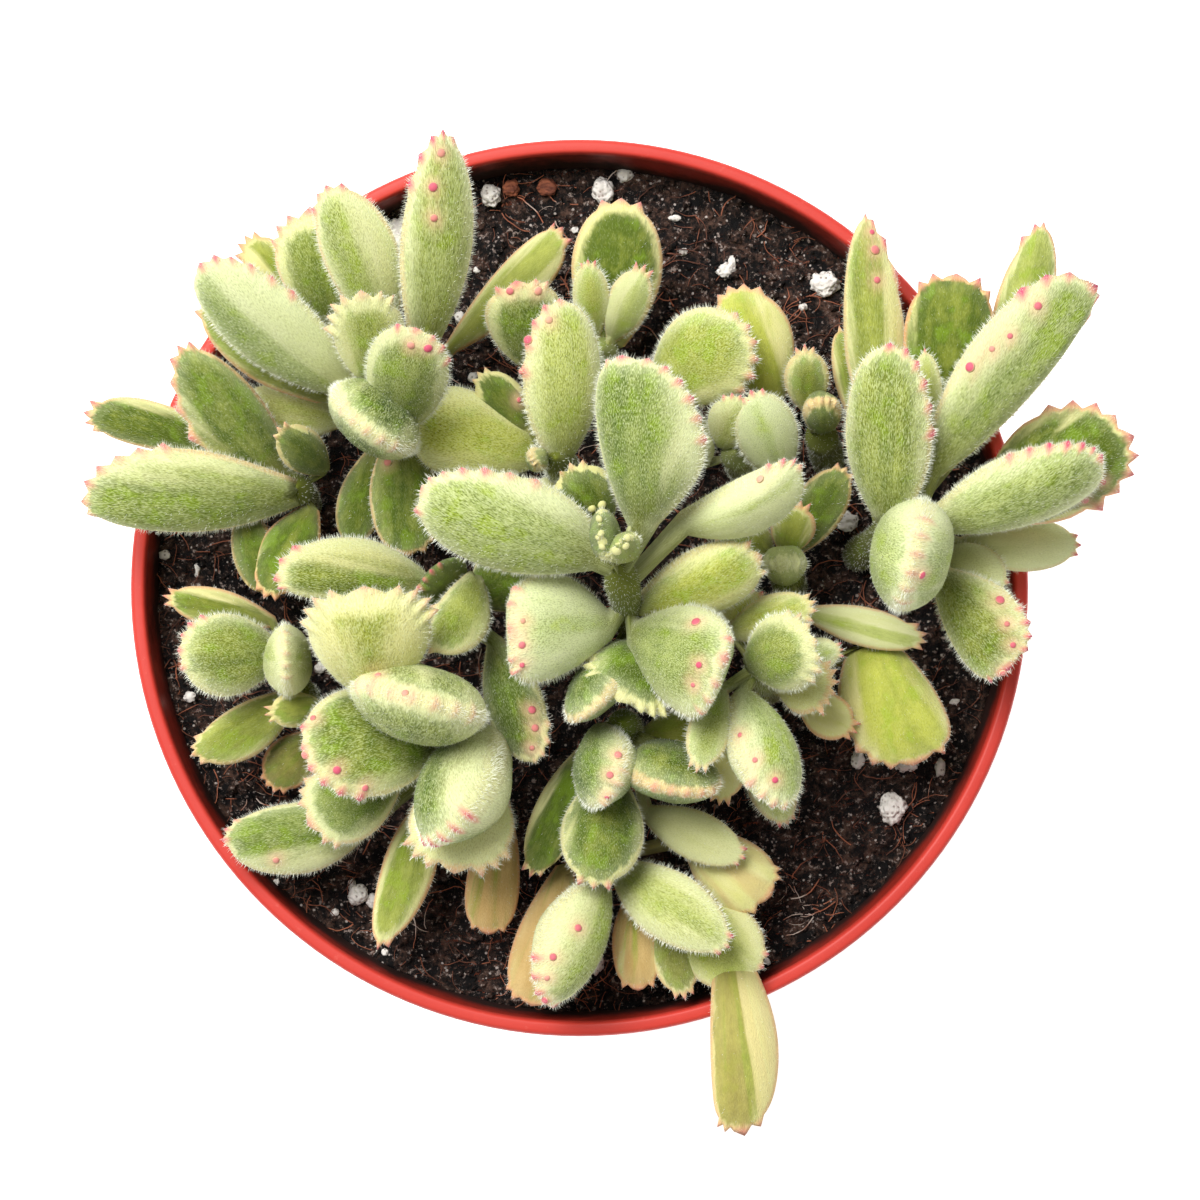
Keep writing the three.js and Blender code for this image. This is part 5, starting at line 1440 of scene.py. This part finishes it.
red_plastic, sheet, shader = finish("red_plastic", roughness=0.4, specular_ior_level=0.25)
place = sheet.place()
height = sheet.node("ShaderNodeSeparateXYZ", {}, {"Vector": place}, "Z")
wear = sheet.noise(place, WEAR_SCALE, detail=5, roughness=0.65)
scuffs = sheet.noise(place, SCUFF_SCALE, detail=3, roughness=0.7)
flat_place = sheet.vectors("MULTIPLY", place, (1, 1, 0))
radius = sheet.node("ShaderNodeVectorMath", {"operation": "LENGTH"}, {0: flat_place}, "Value")
wall_rise = SKIRT_BOTTOM - FLOOR_THICKNESS
wall_lean = (inside_radius(SKIRT_BOTTOM) - inside_radius(FLOOR_THICKNESS)) / wall_rise
wall_middle = height * wall_lean + (inside_radius(0) + WALL / 2) * MM
inside = sheet.step(radius - wall_middle, *WALL_EDGE) * sheet.step(height, *FLOOR_FADE)
inner_wall = inside * sheet.step(height, *RIM_FADE)
plastic = sheet.blend(wear, *REDS)
plastic = sheet.blend(sheet.step(scuffs, 0.62, 0.75) * 0.1, plastic, SCUFF_PINK)
# Darker brown in patches towards the bottom of the inner wall, and rougher there.
low_wall_darkening = inner_wall * sheet.step(wear + (DARKENING_FROM - height) * DARKENING_PACE, 0.55, 0.95)
# Painted shade: the inner wall below the rim is a deeper red.
plastic = sheet.blend(inner_wall * 0.7, plastic, INNER_SHADE_RED)
plastic = sheet.blend(low_wall_darkening, plastic, LOW_WALL_BROWN)
sheet.plug(shader["Base Color"], plastic)
sheet.plug(shader["Roughness"], sheet.clamp(0.36 + wear * 0.16 + low_wall_darkening * 0.4))
sheet.plug(shader["Normal"], sheet.bump(wear + scuffs * 0.15, PLASTIC_DEPTH, 0.4))

# %% Pot
DRAIN_COUNT = 6
DRAIN_RADIUS = 3.0
DRAIN_CIRCLE = 31.0
DRILL_SIDES = 28
ROUNDING = 0.5

outside = inside_radius(SKIRT_BOTTOM) + WALL
profile = [
    (0, 0.25), (8, 0.25), (8.6, 0), (FLOOR_RADIUS - 1, 0), (FLOOR_RADIUS, 1),
    (FLOOR_RADIUS + 1.35, FOOT_BAND), (FLOOR_RADIUS + 1.2, FOOT_BAND + 0.6),
    (outside, SKIRT_BOTTOM), (RIM_RADIUS - 0.5, SKIRT_BOTTOM + 0.4),
    (RIM_RADIUS, POT_HEIGHT - 0.9), (RIM_RADIUS - 0.3, POT_HEIGHT),
    (RIM_RADIUS - LIP_WIDTH + 0.2, POT_HEIGHT), (inside_radius(POT_HEIGHT - 0.6), POT_HEIGHT - 0.6),
    (inside_radius(SKIRT_BOTTOM), SKIRT_BOTTOM),
    (inside_radius(FLOOR_THICKNESS), FLOOR_THICKNESS), (0, FLOOR_THICKNESS),
]
points, faces = turned(rounded(profile, ROUNDING), POT_SIDES)
pot = mesh_object("round_pot", points, faces, red_plastic)

below, above = -FLOOR_THICKNESS, 2 * FLOOR_THICKNESS
drill_profile = [(0, below), (DRAIN_RADIUS, below), (DRAIN_RADIUS, above), (0, above)]
drill_points, drill_faces = turned(drill_profile, DRILL_SIDES)
drill_parts = Parts()
for cos, sin in circle(DRAIN_COUNT):
    drill_parts.add(drill_points + DRAIN_CIRCLE * np.array((cos, sin, 0)), drill_faces)
drills = drill_parts.piece("drills", red_plastic)
cut = pot.modifiers.new("drain_holes", "BOOLEAN")
cut.operation = "DIFFERENCE"
cut.solver = "EXACT"
cut.object = drills
mesh = bpy.data.meshes.new_from_object(pot.evaluated_get(bpy.context.evaluated_depsgraph_get()))
pot.modifiers.clear()
pot.data = mesh
bpy.data.objects.remove(drills)
keep(pot, "red_plastic", "pot")

# %% [markdown]
# ## The soil
# Peat is a heap of crumbs of every size. The filling's top is a fine grid raised into clods, smaller crumbs
# and fibres are grown over it, and bits of white perlite lie where the picture shows them.

# %% Soil top
SOIL_ROUGHNESS = 0.55
SOIL_CELLS = 190
SOIL_CLEARANCE = 0.04
BED_DROP = 0.75
CLOD_SIZE = 3.1
CLOD_RISE = 1.15
CRUMB_SIZE = 1.25
CRUMB_RISE = 0.55
GRIT_SIZE = 1.9
GRIT_RISE = 0.3
UNEVEN_SIZE = 7
LUMP_REACH = 0.75


def soil_relief(x, y):
    """The broad relief of the soil, as in the CAD source."""
    broad = math.sin(0.31 * x + 1.3) * math.cos(0.27 * y - 0.4)
    fine = math.sin(0.83 * x - 0.5 * y) * math.sin(0.71 * y + 0.33 * x + 2)
    return SOIL_ROUGHNESS * (0.6 * broad + 0.4 * fine)


def lumps(x, y, size, seed):
    """Rounded lumps of a given size, from 0 in the cracks to 1 on top."""
    distance = noise.voronoi(Vector((x / size, y / size, seed)))[0]
    return 1 - min(1.0, distance[0] / LUMP_REACH) ** 2


def soil_height(x, y):
    """The height of the soil: broad relief, uneven clods, crumbs between them and fine grit."""
    uneven = noise.noise(Vector((x / UNEVEN_SIZE, y / UNEVEN_SIZE, 4.0)))
    clods = lumps(x, y, CLOD_SIZE, 2.0) * max(0.0, 0.6 + 1.2 * uneven)
    crumbs = lumps(x + 3 * uneven, y, CRUMB_SIZE, 9.0)
    grit = noise.noise(Vector((x * GRIT_SIZE, y * GRIT_SIZE, 6.0)))
    bed = SOIL_TOP + soil_relief(x, y) - BED_DROP
    return bed + CLOD_RISE * clods + CRUMB_RISE * crumbs + GRIT_RISE * grit


soil_rim = inside_radius(SOIL_TOP) - SOIL_CLEARANCE
ticks = np.linspace(-1, 1, SOIL_CELLS + 1)
grid_x, grid_y = np.meshgrid(ticks, ticks)
disc_x = (grid_x * np.sqrt(1 - grid_y ** 2 / 2)).ravel() * soil_rim
disc_y = (grid_y * np.sqrt(1 - grid_x ** 2 / 2)).ravel() * soil_rim
top = np.array([(x, y, soil_height(x, y)) for x, y in zip(disc_x, disc_y)])
cells = np.arange((SOIL_CELLS + 1) ** 2).reshape(SOIL_CELLS + 1, -1)
top_faces = np.stack((cells[:-1, :-1], cells[:-1, 1:], cells[1:, 1:], cells[1:, :-1]), -1)
top_faces = top_faces.reshape(-1, 4)

# %% Peat
# Near-black crumbs and lighter ones, black specks, two directions of thin strands, pale specks and grit. The
# black of crumbs and specks is partly painted shadow between the crumbs.
CRUMB_SHADOW_AND_BROWN = ("#070506", "#5b4338")
SPECK_BLACK_AND_SHADOW = "#040303"
SPECK_PALE = "#b3a096"
STRAND_RUST = "#a8563a"
STRAND_GREY = "#85766e"
GRIT_PALE = "#d0c4bc"
MOTTLE_SCALE = 420
SPECK_SCALE = 1300
TINT_SCALE = 70
GRIT_SCALE = 800.0
STRAND_STRETCHES = ((300, 2600, 500), (2300, 340, 500))
PEAT_DEPTH = 0.001

peat, sheet, shader = finish("peat", roughness=0.85, specular_ior_level=0.3)
place = sheet.place()
mottle = sheet.noise(place, MOTTLE_SCALE, detail=6, roughness=0.75)
rusty_area = sheet.step(sheet.noise(place, TINT_SCALE, detail=3), 0.4, 0.6)
strands = []
for number, stretch in enumerate(STRAND_STRETCHES):
    twist = sheet.vector(mottle * 9, mottle * 14, number)
    twisted = sheet.vectors("ADD", sheet.vectors("MULTIPLY", place, stretch), twist)
    strands.append(sheet.step(sheet.noise(twisted, detail=3, roughness=0.6), 0.6, 0.7))
speck = sheet.noise(place, SPECK_SCALE, detail=3, roughness=0.7)
grit = sheet.cells(place, GRIT_SCALE)
# The near-black end is partly painted shadow between crumbs.
earth = sheet.blend(sheet.step(mottle, 0.45, 0.64), *CRUMB_SHADOW_AND_BROWN)
# Black specks, partly painted shadow in the cracks.
earth = sheet.blend(sheet.step(speck, 0.5, 0.36) * 0.9, earth, SPECK_BLACK_AND_SHADOW)
earth = sheet.blend(sheet.step(speck, 0.57, 0.68) * 0.85, earth, SPECK_PALE)
earth = sheet.blend(strands[0] * rusty_area * 0.9, earth, STRAND_RUST)
earth = sheet.blend(strands[1] * 0.6, earth, STRAND_GREY)
earth = sheet.blend(sheet.step(grit, 0.17, 0.1) * 0.9, earth, GRIT_PALE)
relief = mottle + speck * 0.5 + strands[0] * 0.3 + strands[1] * 0.3
sheet.plug(shader["Base Color"], earth)
sheet.plug(shader["Roughness"], sheet.clamp(0.62 + mottle * 0.45))
sheet.plug(shader["Normal"], sheet.bump(relief, PEAT_DEPTH, 1.0))

# %% Soil filling
edge_cells = np.concatenate((cells[0, :-1], cells[:-1, -1], cells[-1, :0:-1], cells[:0:-1, 0]))
edge_places = top[edge_cells][:, :2]
edge_directions = edge_places / np.linalg.norm(edge_places, axis=1, keepdims=True)
filling = [top]
filling_faces = top_faces.tolist()
upper_ring = edge_cells
for z in (SKIRT_BOTTOM - 1, FLOOR_THICKNESS + GAP):
    lower_ring = sum(len(p) for p in filling) + np.arange(len(edge_cells))
    ring = edge_directions * (inside_radius(z) - GAP)
    filling.append(np.column_stack((ring, np.full(len(ring), z))))
    corners = (upper_ring, lower_ring, np.roll(lower_ring, -1), np.roll(upper_ring, -1))
    filling_faces += np.stack(corners, -1).tolist()
    upper_ring = lower_ring
filling.append(np.array([(0, 0, FLOOR_THICKNESS + GAP)]))
middle = sum(len(p) for p in filling) - 1
filling_faces += [[b, a, middle] for a, b in zip(upper_ring, np.roll(upper_ring, -1))]
keep(mesh_object("peat_filling", np.concatenate(filling), filling_faces, peat), "peat", "soil")

# %% Crumbs
CRUMBS = {"per_square_metre": 4.6e5, "smallest": 0.00025, "largest": 0.001, "ragged": 0.0004, "seed": 8}
FEW_LARGE = 2.5
CRUMB_WAVE = 900.0

tree = Growth("crumbs", **CRUMBS)
points, _ = tree.scatter(tree.given("per_square_metre"))
pebble = tree.node("GeometryNodeMeshIcoSphere", {}, {"Radius": 1.0, "Subdivisions": 1})
range_of_sizes = tree.given("largest") - tree.given("smallest")
size = tree.given("smallest") + tree.draw(0.0, 1.0, seed=4) ** FEW_LARGE * range_of_sizes
flattened = tree.vector(size, size * tree.draw(0.5, 1.0, seed=12), size * tree.draw(0.5, 1.2, seed=6))
crumbs = tree.place_on(points, pebble, tree.upright_on(tree.draw_vector(1.0, seed=2)), flattened)
tree.end(tree.shaken(crumbs, CRUMB_WAVE, (0.5, 0.5, 0.5), tree.given("ragged") * 3))

soil_top = mesh_object("soil_top", top, top_faces, peat)
keep(grow("peat_crumbs", soil_top, tree, peat), "peat")

# %% Fibres
FIBRES = {"per_square_metre": 1.6e5, "length": 0.0034, "wave": 0.0012, "seed": 21}
FIBRE_LENGTHS = (0.4, 1.5)
FIBRE_THICKNESS = 0.017
FIBRE_WAVE = 420.0
BOW = {"Resolution": 7, "Start": (-0.5, 0, 0), "Middle": (0, 0.25, 0.12), "End": (0.5, 0, 0)}
FIBRE_BROWNS = ("#5a372a", "#b0694c")
FIBRE_PALE = "#e2d0c2"
FIBRE_TINT_SCALE = 130

tree = Growth("fibres", **FIBRES)
points, _ = tree.scatter(tree.given("per_square_metre"))
bow = tree.node("GeometryNodeCurveQuadraticBezier", {}, BOW)
ring = tree.node("GeometryNodeCurvePrimitiveCircle", {}, {"Resolution": 3, "Radius": FIBRE_THICKNESS})
strand = tree.node("GeometryNodeCurveToMesh", {}, {"Curve": bow, "Profile Curve": ring, "Fill Caps": True})
any_turn = {"Axis": (0, 0, 1), "Angle": tree.draw(0.0, 6.28, seed=9)}
lying = tree.node("FunctionNodeAxisAngleToRotation", {}, any_turn)
long = tree.given("length") * tree.draw(*FIBRE_LENGTHS, seed=13)
fibres = tree.place_on(points, strand, lying, tree.vector(long, long, long))
tree.end(tree.shaken(fibres, FIBRE_WAVE, (0.5, 0.5, 0.35), tree.given("wave")))

root_fibre, sheet, shader = finish("root_fibre", roughness=0.8)
tint = sheet.noise(sheet.place(), FIBRE_TINT_SCALE)
browns = sheet.blend(sheet.step(tint, 0.35, 0.6), *FIBRE_BROWNS)
sheet.plug(shader["Base Color"], sheet.blend(sheet.step(tint, 0.62, 0.7), browns, FIBRE_PALE))
keep(grow("peat_fibres", soil_top, tree, root_fibre), "peat")
soil_tree = BVHTree.FromObject(soil_top, bpy.context.evaluated_depsgraph_get())
bpy.data.objects.remove(soil_top)

# %% [markdown]
# ## Perlite and bark
# Perlite is glass popped like corn: white, light and full of tiny bubbles. A round ball is pushed in and out
# by lumps and pitted by bubbles. The chips of bark are the same idea with long grain.

# %% Perlite and bark finishes
# White perlite, and the painted shade of its pits.
PERLITE_WHITE_AND_PIT_SHADE = ("#ece6de", "#9d9088")
PERLITE_SHADE = "#8d7a70"
PORE_SCALE = 1500.0
PORE_DEPTH = 0.0003
CLOUD_SCALE = 500
BARK_BROWNS = ("#5a2c1e", "#b4694a")
BARK_STRETCH = (300, 1400, 900)
BARK_DEPTH = 0.0004

perlite, sheet, shader = finish("perlite", roughness=0.9)
place = sheet.place()
pores = sheet.cells(place, PORE_SCALE)
shaded = sheet.step(sheet.noise(place, CLOUD_SCALE, detail=3), 0.55, 0.75) * 0.5
# Painted shade: the pores are a darker grey where the bump sinks them into pits.
white = sheet.blend(sheet.step(pores, 0.35, 0.1), *PERLITE_WHITE_AND_PIT_SHADE)
sheet.plug(shader["Base Color"], sheet.blend(shaded, white, PERLITE_SHADE))
sheet.plug(shader["Normal"], sheet.bump(pores, PORE_DEPTH, 0.8))

bark, sheet, shader = finish("bark", roughness=0.8)
grain = sheet.noise(sheet.vectors("MULTIPLY", sheet.place(), BARK_STRETCH), detail=4, roughness=0.65)
sheet.plug(shader["Base Color"], sheet.blend(sheet.step(grain, 0.35, 0.65), *BARK_BROWNS))
sheet.plug(shader["Normal"], sheet.bump(grain, BARK_DEPTH, 0.8))

# %% Lumps
# Bulges are broad and knobs smaller. A pit is cut wherever the nearest bubble is closer than its reach.
BULGE = {"pace": 1.3, "rise": 0.28}
KNOB = {"pace": 3.1, "rise": 0.16}
PIT = {"pace": 4.5, "reach": 0.42}
CORE = 0.9
PITTED = 0.6
HARDLY_PITTED = 0.15
GRAIN_DETAIL = 4
GRAIN_SEED_STEP = 3.1


def ball(detail):
    """A round ball of triangles, as points on the unit sphere and faces."""
    form = bmesh.new()
    bmesh.ops.create_icosphere(form, subdivisions=detail, radius=1.0)
    form.verts.index_update()
    points = np.array([v.co[:] for v in form.verts])
    faces = [[v.index for v in face.verts] for face in form.faces]
    form.free()
    return points, faces


def popped(directions, seed, pitting):
    """How far each direction of a lump reaches: broad bulges less small bubble pits."""
    reach = []
    for direction in directions:
        bulge = BULGE["rise"] * noise.noise(Vector(direction * BULGE["pace"] + seed))
        knob = KNOB["rise"] * noise.noise(Vector(direction * KNOB["pace"] + seed * 2))
        bubble = noise.voronoi(Vector(direction * PIT["pace"] + seed))[0][0]
        reach.append(CORE + bulge + knob - pitting * max(0.0, PIT["reach"] - bubble))
    return np.array(reach)[:, None]


# %% Grains and chips in place of their nodes
fine_points, fine_faces = ball(GRAIN_DETAIL)
grain_nodes = [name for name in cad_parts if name.startswith(("perlite_grain", "bark_chip"))]
for number, name in enumerate(sorted(grain_nodes)):
    low, high = (np.array(corner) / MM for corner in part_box(name))
    is_bark = name.startswith("bark")
    material, slot, first = (bark, "bark", "chip_") if is_bark else (perlite, "perlite", "grain_")
    pitting = HARDLY_PITTED if is_bark else PITTED
    shape = fine_points * popped(fine_points, GRAIN_SEED_STEP * number, pitting)
    shape = (shape - (shape.max(0) + shape.min(0)) / 2) / (shape.max(0) - shape.min(0))
    points = (low + high) / 2 + shape * (high - low)
    keep(mesh_object(first + name.rsplit("_", 1)[1], points, fine_faces, material), slot, name)

# %% Smaller bits of perlite, where the picture shows them
# Each is a pixel, a width and a length in pixels.
BIT_FLATNESS = 0.8
BIT_LIFT = 0.35
BIT_DETAIL = 3
BIT_SEED_STEP = 5.7
FIRST_BIT_SEED = 40
BITS = [
    ((460, 318), 14, 14), ((477, 270), 8, 8), ((575, 230), 8, 8), ((675, 218), 15, 7),
    ((683, 252), 10, 9), ((732, 263), 9, 18), ((803, 307), 10, 10), ((474, 378), 13, 13),
    ((320, 668), 14, 12), ((197, 570), 8, 18), ((165, 555), 13, 11), ((190, 697), 15, 12),
    ((858, 760), 17, 22), ((940, 768), 12, 22), ((955, 702), 12, 8), ((767, 962), 8, 8),
    ((335, 912), 10, 9), ((277, 882), 8, 8), ((385, 952), 8, 8), ((795, 712), 8, 8),
    ((625, 175), 19, 18), ((608, 188), 13, 15), ((720, 272), 10, 8), ((372, 900), 14, 16),
    ((352, 885), 9, 14),
]
bit_points, bit_faces = ball(BIT_DETAIL)
parts = Parts()
for number, (pixel, width, length) in enumerate(BITS):
    spot, _, _, _ = soil_tree.ray_cast(Vector(EYE * MM), Vector(ray_through(pixel)).normalized())
    size = np.array((width, length, min(width, length) * BIT_FLATNESS)) * MM_PER_PIXEL / 2
    shape = bit_points * popped(bit_points, BIT_SEED_STEP * number + FIRST_BIT_SEED, PITTED) * size
    parts.add(np.array(spot) / MM + shape + UP * size[2] * BIT_LIFT, bit_faces)
keep(parts.piece("perlite_bits", perlite), "perlite")
